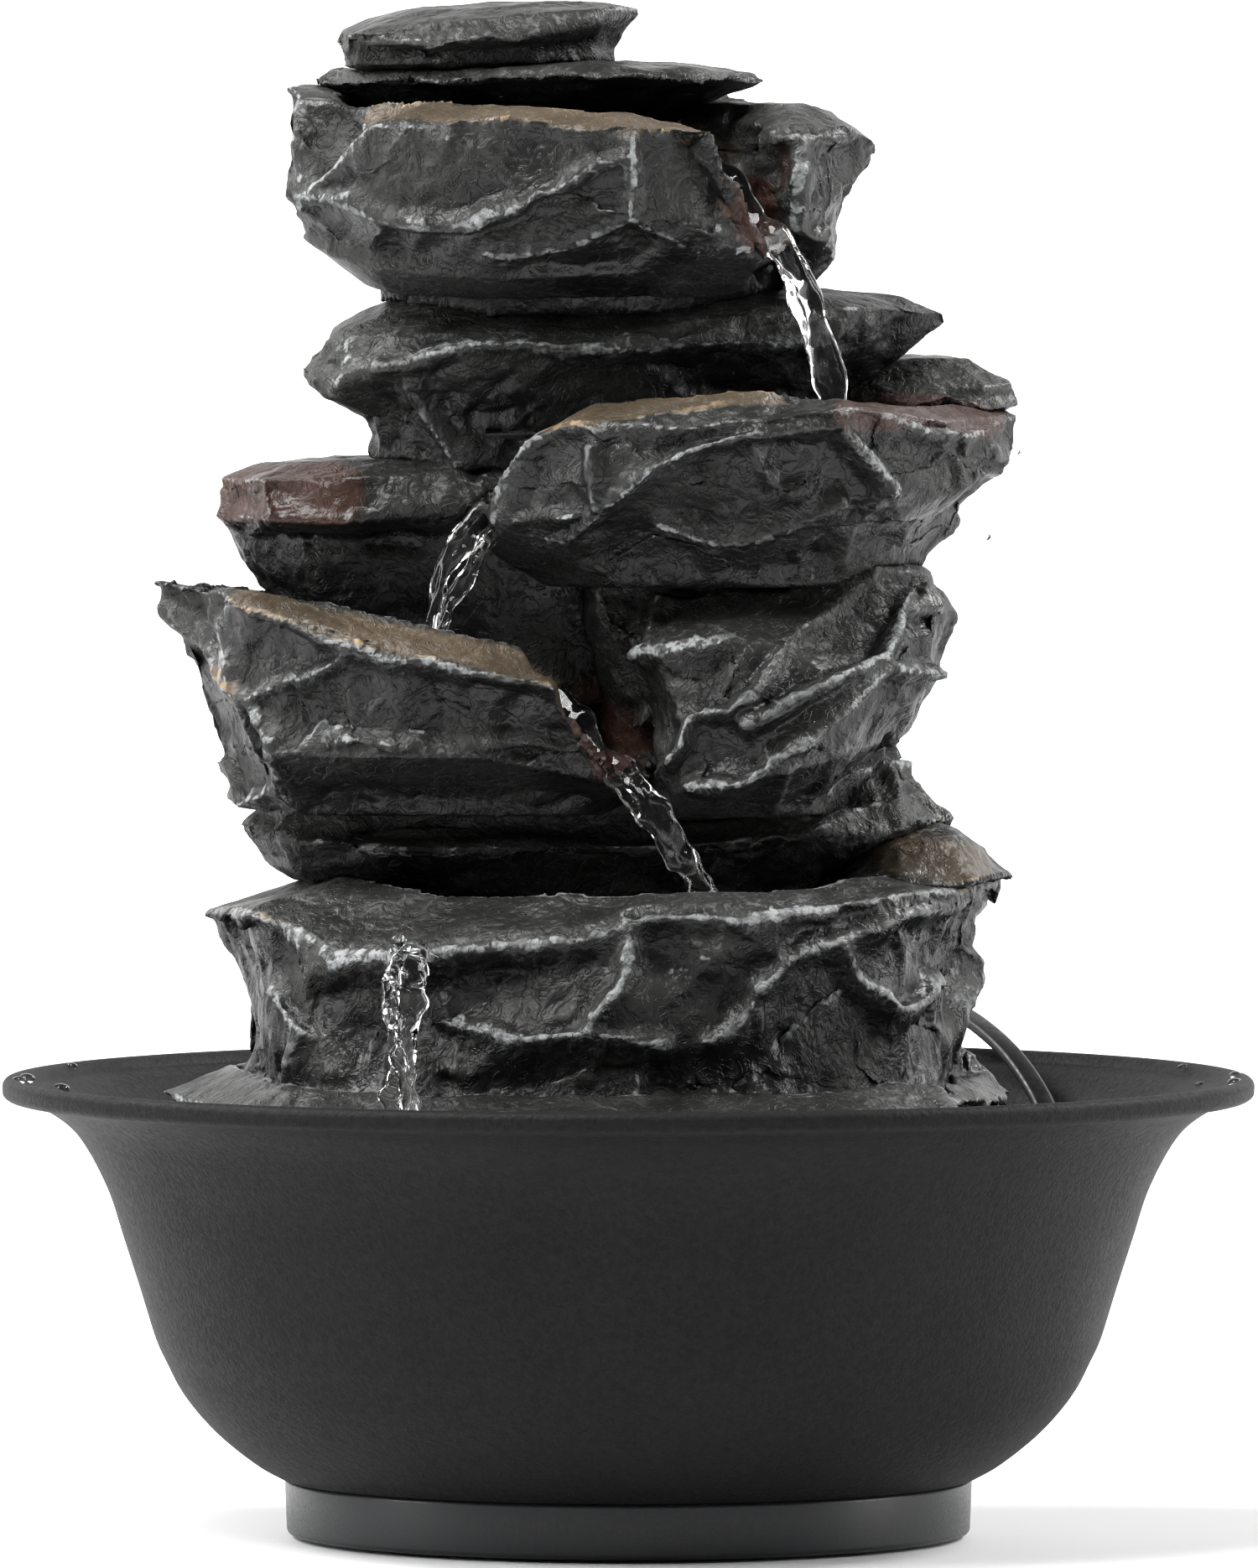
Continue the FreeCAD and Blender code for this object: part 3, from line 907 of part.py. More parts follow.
def all_pieces():
    """Every piece by name."""
    pieces = {
        "bowl": make_bowl(),
        "foot_ring": make_foot_ring(),
        "rubber_feet": make_rubber_feet(),
        "riser_tube": make_riser_tube(),
        "tube_grommet": make_tube_grommet(),
        "seat_pads": make_seat_pads(),
        "pump_housing": make_pump_housing(),
        "suction_cups": make_suction_cups(),
        "intake_cover": make_intake_cover(),
        "intake_sponge": make_intake_sponge(),
        "flow_dial": make_flow_dial(),
        "front_bush": bush(VOLUTE_LEFT - BUSH_LENGTH),
        "rear_bush": bush(CAN_END - CAN_WALL - BUSH_LENGTH),
        "impeller_shaft": make_impeller_shaft(),
        "magnet_rotor": make_magnet_rotor(),
        "impeller": make_impeller(),
        "stator_core": make_stator_core(),
        "stator_winding": make_stator_winding(),
        "motor_cap": make_motor_cap(),
        "cord_gland": make_cord_gland(),
        "cord_run": lead(LEAD_ROUTE),
        "cord_coil": make_cord_coil(),
        "coil_tie": make_coil_tie(),
        "cord_tail": lead(TAIL_ROUTE),
        "adapter_body": make_adapter_body(),
        "adapter_relief": make_adapter_relief(),
        "adapter_pins": make_adapter_pins(),
    }
    pieces.update(laid_stones())
    return pieces


def main():
    """Write one STEP file per piece."""
    os.makedirs("parts", exist_ok=True)
    for name, shape in all_pieces().items():
        shape.exportStep("parts/%s.step" % name)


if __name__ == "__main__":
    main()
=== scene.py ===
"""Looks of the tabletop rock-cascade fountain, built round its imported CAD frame.

Lengths are in metres; a name that ends in _MM is in millimetres.  The fountain faces -Y.
"""

import json
import logging
import math
from dataclasses import dataclass
from enum import Enum

import bmesh
import bpy
import numpy as np
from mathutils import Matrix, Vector
from mathutils.bvhtree import BVHTree


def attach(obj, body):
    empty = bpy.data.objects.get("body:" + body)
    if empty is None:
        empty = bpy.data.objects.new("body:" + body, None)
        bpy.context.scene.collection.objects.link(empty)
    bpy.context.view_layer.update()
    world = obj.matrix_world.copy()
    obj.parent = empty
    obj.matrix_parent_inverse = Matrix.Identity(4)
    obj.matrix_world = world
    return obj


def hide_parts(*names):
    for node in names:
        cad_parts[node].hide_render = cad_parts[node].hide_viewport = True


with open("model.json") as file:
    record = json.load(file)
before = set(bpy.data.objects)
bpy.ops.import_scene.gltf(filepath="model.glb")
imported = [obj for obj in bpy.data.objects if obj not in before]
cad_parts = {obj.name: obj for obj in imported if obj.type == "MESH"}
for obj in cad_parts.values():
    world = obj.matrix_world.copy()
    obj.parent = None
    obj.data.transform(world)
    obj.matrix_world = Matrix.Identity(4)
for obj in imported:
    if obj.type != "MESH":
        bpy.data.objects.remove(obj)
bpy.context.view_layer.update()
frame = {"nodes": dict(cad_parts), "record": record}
LOG = logging.getLogger("fountain")
MM = 0.001
Array = np.ndarray


# ---------------------------------------------------------------- numbers on arrays


def smoothstep(low: float, high: float, x: Array) -> Array:
    """Rise smoothly from 0 at low to 1 at high: t squared times (3 - 2t)."""
    t = np.clip((x - low) / (high - low), 0.0, 1.0)
    return t * t * (3.0 - 2.0 * t)


def hashed(cells: Array, seed: int) -> Array:
    """One steady random number from 0 to 1 for each whole-numbered cell.

    Args:
        cells: whole numbers, (n, 3).
        seed: picks the pattern.

    Returns:
        n numbers from 0 to 1, by multiplying and folding the cell's bits.
    """
    c = cells.astype(np.int64).astype(np.uint32)
    h = (c[:, 0] * np.uint32(73856093)) ^ (c[:, 1] * np.uint32(19349663))
    h ^= (c[:, 2] * np.uint32(83492791)) ^ np.uint32((seed * 2654435761) % 2**32)
    h ^= h >> np.uint32(13)
    h *= np.uint32(1540483477)
    h ^= h >> np.uint32(15)
    h *= np.uint32(2246822519)
    h ^= h >> np.uint32(13)
    return h.astype(np.float64) / 2**32


def noise(points: Array, size: float | tuple[float, float, float], seed: int) -> Array:
    """Smooth noise from -1 to 1: random values on a lattice, blended along the three axes.

    Args:
        points: places, (n, 3).
        size: the lattice's pitch, one number or one for each axis.
        seed: picks the pattern.

    Returns:
        n values.
    """
    scaled = points / np.asarray(size)
    low = np.floor(scaled)
    t = scaled - low
    t = t * t * (3.0 - 2.0 * t)
    total = np.zeros(len(points))
    for corner in np.ndindex(2, 2, 2):
        share = np.prod(np.where(np.array(corner) == 1, t, 1.0 - t), axis=1)
        total += share * hashed(low + corner, seed)
    return total * 2.0 - 1.0


def fractal(points: Array, size: float, octaves: int, seed: int) -> Array:
    """Noise added to itself at half the size and half the strength, a few times."""
    layers = [noise(points, size / 2**k, seed + k) / 2**k for k in range(octaves)]
    return np.sum(layers, axis=0)


TURNED = np.array([[0.80, -0.36, 0.48], [0.60, 0.48, -0.64], [0.0, 0.80, 0.60]])


def faceted(points: Array, size: tuple[float, float, float], seed: int) -> Array:
    """Heights of a surface made of flat facets that meet in sharp edges, from -1 to 1.

    Random values stand on a turned lattice.  Each cube of it is split into six tetrahedra by the
    order of the coordinates' fractions, and the height is linear in each one: starting from the
    low corner's value, it adds each step's difference times that coordinate's fraction, largest first.

    Args:
        points: places, (n, 3).
        size: the lattice's pitch along each axis.
        seed: picks the pattern.

    Returns:
        n heights.
    """
    scaled = (points / np.asarray(size)) @ TURNED.T + 40.0
    corner = np.floor(scaled)
    part = scaled - corner
    order = np.argsort(-part, axis=1)
    value = hashed(corner, seed)
    height = value.copy()
    for k in range(3):
        axis = order[:, k:k + 1]
        corner = corner.copy()
        np.put_along_axis(corner, axis, np.take_along_axis(corner, axis, axis=1) + 1.0, axis=1)
        following = hashed(corner, seed)
        height += (following - value) * np.take_along_axis(part, axis, axis=1)[:, 0]
        value = following
    return height * 2.0 - 1.0


def chiselled(points: Array, normal: Array, cuts: int, reach: float, depth: float, held: Array,
              seed: int) -> Array:
    """The points after flat chips are struck off.

    Each cut picks a point of the surface and a plane below it, square to the normal there tilted at
    random.  A point that stands above the plane would be pressed onto it by the height above it,
    up to 1.7 times the depth, times the share 1 - (distance / reach) squared held between 0 and 1.
    Of all the cuts that reach a point only the one that presses it furthest counts.

    Args:
        points: places, (n, 3).
        normal: the surface's normals there, (n, 3).
        cuts: how many chips.
        reach: how far the largest chip spreads.
        depth: how far the deepest plane lies below its point.
        held: 1 where the surface is kept, 0 where it's free, (n,).
        seed: picks the chips.

    Returns:
        Places, (n, 3).
    """
    draw = np.random.default_rng(seed)
    furthest = np.zeros(len(points))
    towards = np.zeros_like(points)
    for _ in range(cuts):
        at = draw.integers(len(points))
        tilt = normal[at] + draw.uniform(-0.3, 0.3, 3)
        tilt /= np.linalg.norm(tilt)
        spread = reach * draw.uniform(0.5, 1.0)
        sunk = depth * draw.uniform(0.2, 1.0)
        near = np.nonzero(np.all(np.abs(points - points[at]) < spread, axis=1))[0]
        away = points[near] - points[at]
        share = np.clip(1.0 - np.sum(away * away, axis=1) / spread**2, 0.0, 1.0)
        press = np.clip(away @ tilt + sunk, 0.0, 1.7 * depth) * np.minimum(1.0, 3.0 * share)
        press *= smoothstep(0.1, 0.4, normal[near] @ tilt) * (1.0 - held[near])
        more = press > furthest[near]
        furthest[near[more]] = press[more]
        towards[near[more]] = tilt
    return points - furthest[:, None] * towards


def chipped(points: Array, size: tuple[float, float, float], seed: int) -> Array:
    """Heights of a surface knocked into flat chips, about -1 to 1.

    Each cell of a jittered lattice owns the points nearest to its seed; over them the height is a
    plane through the seed with the cell's own tilt, so that neighbours meet in a sharp step.

    Args:
        points: places, (n, 3).
        size: a chip's size along each axis.
        seed: picks the pattern.

    Returns:
        n heights.
    """
    scaled = points / np.asarray(size)
    low = np.floor(scaled)
    nearest = np.full(len(points), np.inf)
    height = np.zeros(len(points))
    for step in np.ndindex(3, 3, 3):
        cell = low + np.array(step) - 1.0
        jitter = np.stack([hashed(cell, seed + k) for k in range(3)], axis=1)
        away = scaled - cell - jitter
        distance = np.sum(away * away, axis=1)
        tilt = np.stack([hashed(cell, seed + k) for k in range(3, 6)], axis=1) * 2.0 - 1.0
        plane = np.sum(away * tilt, axis=1) + hashed(cell, seed + 6) - 0.5
        closer = distance < nearest
        height = np.where(closer, plane, height)
        nearest = np.minimum(distance, nearest)
    return height


def line_distance(flat: Array, corners: Array) -> Array:
    """Shortest distance from each point to a line of straight runs, in a plane.

    Args:
        flat: points, (n, 2).
        corners: the line's corners, (m, 2).

    Returns:
        n distances.
    """
    best = np.full(len(flat), np.inf)
    for start, end in zip(corners, corners[1:]):
        run = end - start
        t = np.clip((flat - start) @ run / (run @ run), 0.0, 1.0)
        best = np.minimum(best, np.linalg.norm(flat - start - t[:, None] * run, axis=1))
    return best


def smooth_line(points: list[tuple[float, ...]], samples: int) -> Array:
    """A smooth line through points: on each span, the cubic that keeps its neighbours' direction.

    Args:
        points: the points it passes through.
        samples: how many places to return.

    Returns:
        Places along the line, evenly spread over its spans.
    """
    p = np.array(points, float)
    p = np.vstack([2 * p[0] - p[1], p, 2 * p[-1] - p[-2]])
    at = np.linspace(0, len(p) - 3 - 1e-9, samples)
    i = at.astype(int)
    t = (at - i)[:, None]
    a, b, c, d = p[i], p[i + 1], p[i + 2], p[i + 3]
    return 0.5 * (2 * b + (c - a) * t + (2 * a - 5 * b + 4 * c - d) * t**2
                  + (3 * b - a - 3 * c + d) * t**3)


# ---------------------------------------------------------------- meshes


def new_piece(name: str, points: Array, faces: Array | list, smooth: bool = True) -> bpy.types.Object:
    """A mesh object from points and faces, in place.

    Args:
        name: the piece's name.
        points: corners in metres, (n, 3).
        faces: rows of corner numbers.
        smooth: whether the faces are shaded smoothly.

    Returns:
        The object, at the origin.
    """
    mesh = bpy.data.meshes.new(name)
    mesh.from_pydata(np.asarray(points).tolist(), [], [list(map(int, f)) for f in faces])
    mesh.polygons.foreach_set("use_smooth", np.full(len(mesh.polygons), smooth))
    mesh.update()
    piece = bpy.data.objects.new(name, mesh)
    bpy.context.scene.collection.objects.link(piece)
    return piece


def grid_faces(rows: int, columns: int, wrap_rows: bool, wrap_columns: bool) -> Array:
    """Four-cornered faces of a grid of points numbered row by row.

    Args:
        rows: how many rows of points.
        columns: how many points in a row.
        wrap_rows: whether the last row joins the first.
        wrap_columns: whether each row closes on itself.

    Returns:
        Rows of four corner numbers.
    """
    r = np.arange(rows if wrap_rows else rows - 1)
    c = np.arange(columns if wrap_columns else columns - 1)
    r, c = (a.ravel() for a in np.meshgrid(r, c, indexing="ij"))
    r1, c1 = (r + 1) % rows, (c + 1) % columns
    return np.stack([r * columns + c, r * columns + c1, r1 * columns + c1, r1 * columns + c], axis=1)


def tube_points(path: Array, section: Array, up: Array) -> Array:
    """A section carried along a path.

    At each place the section's first axis is the side direction, square to the path and to up, and
    its second axis is square to both.

    Args:
        path: places along the path, (n, 3).
        section: the section's points, (m, 2) or (n, m, 2) where it changes.
        up: the direction that the section's second axis leans to, (3,) or (n, 3).

    Returns:
        Points, (n, m, 3).
    """
    along = np.gradient(path, axis=0)
    along /= np.linalg.norm(along, axis=1, keepdims=True)
    side = np.cross(along, up)
    side /= np.linalg.norm(side, axis=1, keepdims=True)
    rise = np.cross(side, along)
    shape = np.broadcast_to(section, (len(path), *section.shape[-2:]))
    return path[:, None] + shape[..., :1] * side[:, None] + shape[..., 1:] * rise[:, None]


def closed_tube(name: str, rings: Array) -> bpy.types.Object:
    """A tube of rings whose two ends are closed by fans, its faces pointing outwards."""
    rows, columns = rings.shape[:2]
    points = np.vstack([rings.reshape(-1, 3), rings[0].mean(0), rings[-1].mean(0)])
    turn = (np.arange(columns) + 1) % columns
    first, last = rows * columns, rows * columns + 1
    base = (rows - 1) * columns
    faces = grid_faces(rows, columns, False, True).tolist()
    faces += [[first, int(b), int(a)] for a, b in zip(range(columns), turn)]
    faces += [[last, base + int(a), base + int(b)] for a, b in zip(range(columns), turn)]
    return outward(new_piece(name, points, faces))


def outward(piece: bpy.types.Object) -> bpy.types.Object:
    """Turn a closed piece's faces outwards."""
    shape = bmesh.new()
    shape.from_mesh(piece.data)
    bmesh.ops.remove_doubles(shape, verts=shape.verts, dist=1e-6)
    bmesh.ops.recalc_face_normals(shape, faces=shape.faces)
    shape.to_mesh(piece.data)
    shape.free()
    piece.data.polygons.foreach_set("use_smooth", np.ones(len(piece.data.polygons), bool))
    return piece


def lathe(name: str, profile: Array, steps: int) -> bpy.types.Object:
    """A profile of (radius, height) turned about Z; it closes on itself or starts and ends on the axis."""
    angle = np.linspace(0, 2 * np.pi, steps, endpoint=False)
    r, z = profile[:, :1], profile[:, 1:]
    points = np.stack([r * np.cos(angle), r * np.sin(angle), z + 0 * angle], axis=2)
    return outward(new_piece(name, points.reshape(-1, 3), grid_faces(len(profile), steps, True, True)))


def corners_of(mesh: bpy.types.Mesh) -> Array:
    """A mesh's corners, (n, 3)."""
    found = np.empty(len(mesh.vertices) * 3)
    mesh.vertices.foreach_get("co", found)
    return found.reshape(-1, 3)


def store(mesh: bpy.types.Mesh, name: str, values: Array) -> None:
    """Keep one number for each corner, for a finish to read."""
    mesh.attributes.new(name, "FLOAT", "POINT").data.foreach_set("value", values.astype(np.float32))


# ---------------------------------------------------------------- shader graph


class Wire:
    """A shader socket that sums, scales and compares like a number."""

    def __init__(self, graph: "Graph", socket: bpy.types.NodeSocket) -> None:
        """Keep the socket and the graph that it's in."""
        self.graph, self.socket = graph, socket

    def _math(self, operation: str, first: "Wire | float", second: "Wire | float") -> "Wire":
        """A Math node on two values."""
        return self.graph.add("ShaderNodeMath", {"operation": operation}, {0: first, 1: second})

    def __add__(self, other: "Wire | float") -> "Wire":
        """Sum."""
        return self._math("ADD", self, other)

    def __radd__(self, other: float) -> "Wire":
        """Sum, with a number on the left."""
        return self._math("ADD", other, self)

    def __sub__(self, other: "Wire | float") -> "Wire":
        """Difference."""
        return self._math("SUBTRACT", self, other)

    def __rsub__(self, other: float) -> "Wire":
        """Difference, with a number on the left."""
        return self._math("SUBTRACT", other, self)

    def __mul__(self, other: "Wire | float") -> "Wire":
        """Product."""
        return self._math("MULTIPLY", self, other)

    def __rmul__(self, other: float) -> "Wire":
        """Product, with a number on the left."""
        return self._math("MULTIPLY", other, self)

    def abs(self) -> "Wire":
        """Size without sign."""
        return self._math("ABSOLUTE", self, 0.0)

    def most(self, other: "Wire | float") -> "Wire":
        """The larger of two."""
        return self._math("MAXIMUM", self, other)

    def ramp(self, low: float, high: float, to_low: float = 0.0, to_high: float = 1.0) -> "Wire":
        """Carry low..high smoothly to to_low..to_high, and hold beyond."""
        return self.graph.add("ShaderNodeMapRange", {"interpolation_type": "SMOOTHSTEP"},
                              {0: self, 1: low, 2: high, 3: to_low, 4: to_high})


class Graph:
    """A material's nodes."""

    def __init__(self, name: str) -> None:
        """Start an empty material with an output."""
        self.material = bpy.data.materials.new(name)
        self.material.use_nodes = True
        self.tree = self.material.node_tree
        self.tree.nodes.clear()
        self.output = self.tree.nodes.new("ShaderNodeOutputMaterial")

    def add(self, kind: str, settings: dict, inputs: dict, out: int | str = 0) -> Wire:
        """Add one node.

        Args:
            kind: the node's type.
            settings: what is set on the node before its sockets.
            inputs: socket name or number to a value or a wire.
            out: which output to return.

        Returns:
            The node's output as a wire.
        """
        node = self.tree.nodes.new(kind)
        for key, value in settings.items():
            setattr(node, key, value)
        for key, value in inputs.items():
            if isinstance(value, Wire):
                self.tree.links.new(value.socket, node.inputs[key])
            else:
                node.inputs[key].default_value = value
        return Wire(self, node.outputs[out])

    def place(self, scale: tuple[float, float, float] = (1, 1, 1)) -> Wire:
        """Object coordinates, stretched by scale."""
        raw = self.add("ShaderNodeTexCoord", {}, {}, "Object")
        return self.add("ShaderNodeMapping", {}, {"Vector": raw, "Scale": scale})

    def noise(self, at: Wire, scale: float, detail: float = 3.0, distortion: float = 0.0) -> Wire:
        """Soft noise, about 0.5."""
        return self.add("ShaderNodeTexNoise", {}, {"Vector": at, "Scale": scale, "Detail": detail,
                                                   "Distortion": distortion}, "Fac")

    def cells(self, at: Wire, scale: float) -> Wire:
        """Distance to the nearest cell's middle."""
        return self.add("ShaderNodeTexVoronoi", {}, {"Vector": at, "Scale": scale}, "Distance")

    def own(self, name: str) -> Wire:
        """A number kept on the mesh's corners."""
        return self.add("ShaderNodeAttribute", {"attribute_name": name}, {}, "Fac")

    def mix(self, share: "Wire | float", first: object, second: object) -> Wire:
        """Blend two colours."""
        return self.add("ShaderNodeMix", {"data_type": "RGBA"}, {0: share, 6: first, 7: second}, 2)

    def bump(self, height: Wire, strength: float, depth: float) -> Wire:
        """A normal bent by a height, whose full step is depth metres."""
        return self.add("ShaderNodeBump", {}, {"Height": height, "Strength": strength, "Distance": depth})

    def surface(self, **sockets: object) -> bpy.types.Material:
        """Close the graph with one principled shader; an underscore in a name stands for a space."""
        named = {key.replace("_", " "): value for key, value in sockets.items()}
        shader = self.add("ShaderNodeBsdfPrincipled", {}, named)
        self.tree.links.new(shader.socket, self.output.inputs["Surface"])
        return self.material


Colour = tuple[float, float, float, float]


@dataclass(frozen=True)
class StoneFinish:
    """Wet cast resin: charcoal, dry-brushed pale along its edges, with ochre and rust stains, and with
    painted light on upward faces and painted shade in recesses and undersides.
    """

    dark: Colour = (0.005, 0.0052, 0.005, 1)
    body: Colour = (0.0125, 0.013, 0.0118, 1)
    # Painted light tone, laid on upward, exposed faces.
    lit: Colour = (0.0225, 0.0232, 0.02, 1)
    # Painted shade tone, laid in recesses and on undersides.
    deep: Colour = (0.0018, 0.0018, 0.0017, 1)
    pale: Colour = (0.33, 0.345, 0.345, 1)
    gilt: Colour = (0.36, 0.25, 0.14, 1)
    ochre: Colour = (0.105, 0.074, 0.043, 1)
    rust: Colour = (0.042, 0.0165, 0.0105, 1)

    def made(self) -> bpy.types.Material:
        """The material; it reads edge, ridge, open, the painted shade mask, ochre and rust from the mesh, and
        paints light where open is high.
        """
        g = Graph("cast_stone")
        at = g.place()
        cloud = g.noise(at, 55.0, 4.0, 0.4)
        grain = g.noise(at, 620.0, 4.0, 0.3)
        stroke = g.noise(at, 260.0, 3.0, 1.2)
        worm = (stroke - 0.5).abs().ramp(0.0, 0.03, 1.0, 0.0)
        fleck = grain.ramp(0.55, 0.63)
        # lit reads open: upward, exposed faces, where light is painted and where dry-brush flecks gather.
        edge, ridge, lit = g.own("edge"), g.own("ridge"), g.own("open")
        jagged = (grain - 0.5) * 0.3 + (stroke - 0.5) * 0.2
        line = (ridge + jagged * 1.3).ramp(0.9, 0.98) * cloud.ramp(0.38, 0.58, 0.1, 1.0)
        crest = (edge + jagged * 1.8).ramp(0.58, 0.82) * cloud.ramp(0.32, 0.56, 0.3, 1.0)
        dusted = (ridge.ramp(0.3, 1.0) * 0.6 + lit.ramp(0.6, 1.0) * 0.3) * cloud.ramp(0.42, 0.62, 0.1, 1.0)
        flecks = dusted * (fleck + worm * 0.8)
        body = g.mix(cloud.ramp(0.32, 0.68), self.dark, self.body)
        # Painted light: upward, exposed faces take the lighter tone.
        body = g.mix(lit.ramp(0.2, 1.0, 0.0, 0.7), body, self.lit)
        # Painted shade: the near-black is laid in recesses, on undersides and, weakly, on level tops.
        body = g.mix(g.own("painted_shade").ramp(0.05, 0.8, 0.0, 0.95), body, self.deep)
        rust = (g.own("rust") + jagged * 0.7).ramp(0.34, 0.6)
        ochre = (g.own("ochre") + jagged * 0.7).ramp(0.38, 0.6)
        body = g.mix(rust * (0.45 + cloud * 0.8), body, self.rust)
        body = g.mix(ochre * (cloud.ramp(0.3, 0.7, 0.25, 0.7) + grain * 0.3), body, self.ochre)
        body = g.mix(flecks * 0.42, body, self.pale)
        gilded = g.mix(ochre, self.pale, self.gilt)
        body = g.mix((line * 0.8).most(crest * 0.75) * grain.ramp(0.4, 0.56, 0.35, 1.0), body, gilded)
        dab = g.noise(at, 120.0, 2.0, 0.8)
        relief = (grain * 0.5 + worm * 0.2 + stroke * 0.8) * cloud.ramp(0.35, 0.65, 0.35, 1.0) + dab * 0.9
        return g.surface(Base_Color=body, Roughness=cloud.ramp(0.3, 0.7, 0.32, 0.6),
                         Specular_IOR_Level=0.36, Normal=g.bump(relief, 0.85, 0.0015))


@dataclass(frozen=True)
class Moulded:
    """Moulded plastic or rubber with a fine sandy skin."""

    name: str
    colour: Colour
    sheen: float = 0.5
    grain: float = 1500.0
    depth: float = 0.0001
    gloss: float = 0.5

    def made(self) -> bpy.types.Material:
        """The material."""
        g = Graph(self.name)
        at = g.place()
        cloud = g.noise(at, 40.0, 3.0)
        grain = g.noise(at, self.grain, 3.0)
        light = tuple(c * 1.25 for c in self.colour[:3]) + (1.0,)
        colour = g.mix(cloud * 0.6 + grain * 0.4, self.colour, light)
        return g.surface(Base_Color=colour,
                         Roughness=grain.ramp(0.3, 0.7, self.sheen - 0.06, self.sheen + 0.08),
                         Specular_IOR_Level=self.gloss,
                         Normal=g.bump(grain, 0.6, self.depth))


@dataclass(frozen=True)
class Leathered:
    """The bowl's skin: charcoal plastic with a pebbled, sandy texture."""

    low: Colour = (0.0038, 0.0038, 0.0038, 1)
    high: Colour = (0.0092, 0.0091, 0.009, 1)

    def made(self) -> bpy.types.Material:
        """The material."""
        g = Graph("bowl_skin")
        at = g.place()
        pebble = g.noise(at, 900.0, 2.0, 0.6)
        sand = g.noise(at, 2200.0, 2.0)
        cloud = g.noise(at, 45.0, 4.0)
        tone = pebble * 0.45 + sand * 0.35 + cloud * 0.2
        return g.surface(Base_Color=g.mix(tone.ramp(0.3, 0.7), self.low, self.high),
                         Roughness=tone.ramp(0.3, 0.7, 0.66, 0.52), Specular_IOR_Level=0.13,
                         Normal=g.bump(sand * 0.5 + pebble * 0.8, 0.8, 0.00022))


@dataclass(frozen=True)
class Metal:
    """Drawn or ground metal with fine lines."""

    name: str
    colour: Colour
    rough: float = 0.3
    lines: tuple[float, float, float] = (1, 1, 12)

    def made(self) -> bpy.types.Material:
        """The material."""
        g = Graph(self.name)
        streak = g.noise(g.place(self.lines), 500.0, 3.0)
        dull = tuple(c * 0.7 for c in self.colour[:3]) + (1.0,)
        return g.surface(Base_Color=g.mix(streak, dull, self.colour), Metallic=1.0,
                         Roughness=streak.ramp(0.3, 0.7, self.rough - 0.1, self.rough + 0.12),
                         Normal=g.bump(streak, 0.3, 0.00005))


@dataclass(frozen=True)
class Clear:
    """Water or clear tube: it bends light, with faint ripples."""

    name: str
    colour: Colour = (1, 1, 1, 1)
    index: float = 1.333
    ripple: float = 140.0
    depth: float = 0.0004

    def made(self) -> bpy.types.Material:
        """The material."""
        g = Graph(self.name)
        wave = g.noise(g.place(), self.ripple, 2.0, 0.5)
        return g.surface(Base_Color=self.colour, Roughness=wave.ramp(0.3, 0.7, 0.0, 0.03),
                         Transmission_Weight=1.0, IOR=self.index,
                         Normal=g.bump(wave, 0.5, self.depth))


@dataclass(frozen=True)
class Sponge:
    """Open-cell foam, with painted shade in its pores."""

    name: str
    colour: Colour

    def made(self) -> bpy.types.Material:
        """The material."""
        g = Graph(self.name)
        pores = g.cells(g.place(), 900.0).ramp(0.1, 0.55)
        # Painted shade: the pores' middles take the darker tone.
        deep = tuple(c * 0.3 for c in self.colour[:3]) + (1.0,)
        return g.surface(Base_Color=g.mix(pores, deep, self.colour), Roughness=0.9,
                         Normal=g.bump(pores, 0.9, 0.0005))


class Finish(Enum):
    """Every finish by its material slot."""

    cast_stone = StoneFinish()
    bowl_plastic = Leathered()
    ring_plastic = Moulded("ring_satin", (0.0085, 0.0095, 0.0108, 1), 0.36, 2200.0, 0.00003, 0.35)
    foot_rubber = Moulded("foot_rubber", (0.012, 0.012, 0.012, 1), 0.75)
    seat_foam = Sponge("seat_foam", (0.03, 0.03, 0.03, 1))
    clear_tube = Clear("clear_vinyl", (0.93, 0.96, 0.95, 1), 1.52, 60.0, 0.0001)
    black_rubber = Moulded("black_rubber", (0.01, 0.01, 0.01, 1), 0.7)
    pump_plastic = Moulded("pump_plastic", (0.011, 0.011, 0.012, 1), 0.48)
    potting_resin = Moulded("potting_resin", (0.008, 0.008, 0.009, 1), 0.2, 300.0)
    bush_ceramic = Moulded("ground_ceramic", (0.72, 0.7, 0.66, 1), 0.3, 2500.0, 0.00002)
    rotor_magnet = Moulded("sintered_ferrite", (0.03, 0.03, 0.033, 1), 0.5, 2500.0)
    impeller_plastic = Moulded("impeller_plastic", (0.6, 0.6, 0.56, 1), 0.42)
    lamination_steel = Metal("lamination_steel", (0.4, 0.4, 0.41, 1), 0.4, (14, 1, 1))
    winding_copper = Metal("winding_copper", (0.65, 0.3, 0.14, 1), 0.3, (12, 1, 1))
    filter_sponge = Sponge("filter_sponge", (0.04, 0.04, 0.042, 1))
    dial_plastic = Moulded("dial_plastic", (0.02, 0.02, 0.024, 1), 0.4)
    lead_jacket = Moulded("lead_jacket", (0.006, 0.006, 0.0065, 1), 0.42, 700.0, 0.00004, 0.35)
    tie_plastic = Moulded("tie_plastic", (0.012, 0.012, 0.012, 1), 0.4)
    adapter_plastic = Moulded("adapter_plastic", (0.012, 0.012, 0.013, 1), 0.5)
    pin_brass = Metal("pin_metal", (0.78, 0.72, 0.55, 1), 0.22, (1, 12, 1))


SLOT_OF = {row["node"]: row["material_slot"] for row in frame["record"]["subparts"]}
BODY_OF = {node: body for body, nodes in frame["record"]["behaviour"]["bodies"].items() for node in nodes}
MADE: dict[str, bpy.types.Material] = {}


def finish_for(slot: str) -> bpy.types.Material:
    """The slot's material, made once."""
    if slot not in MADE:
        MADE[slot] = Finish[slot].value.made()
    return MADE[slot]


def dress(piece: bpy.types.Object, slot: str) -> None:
    """Give a piece its slot's finish."""
    piece.data.materials.clear()
    piece.data.materials.append(finish_for(slot))


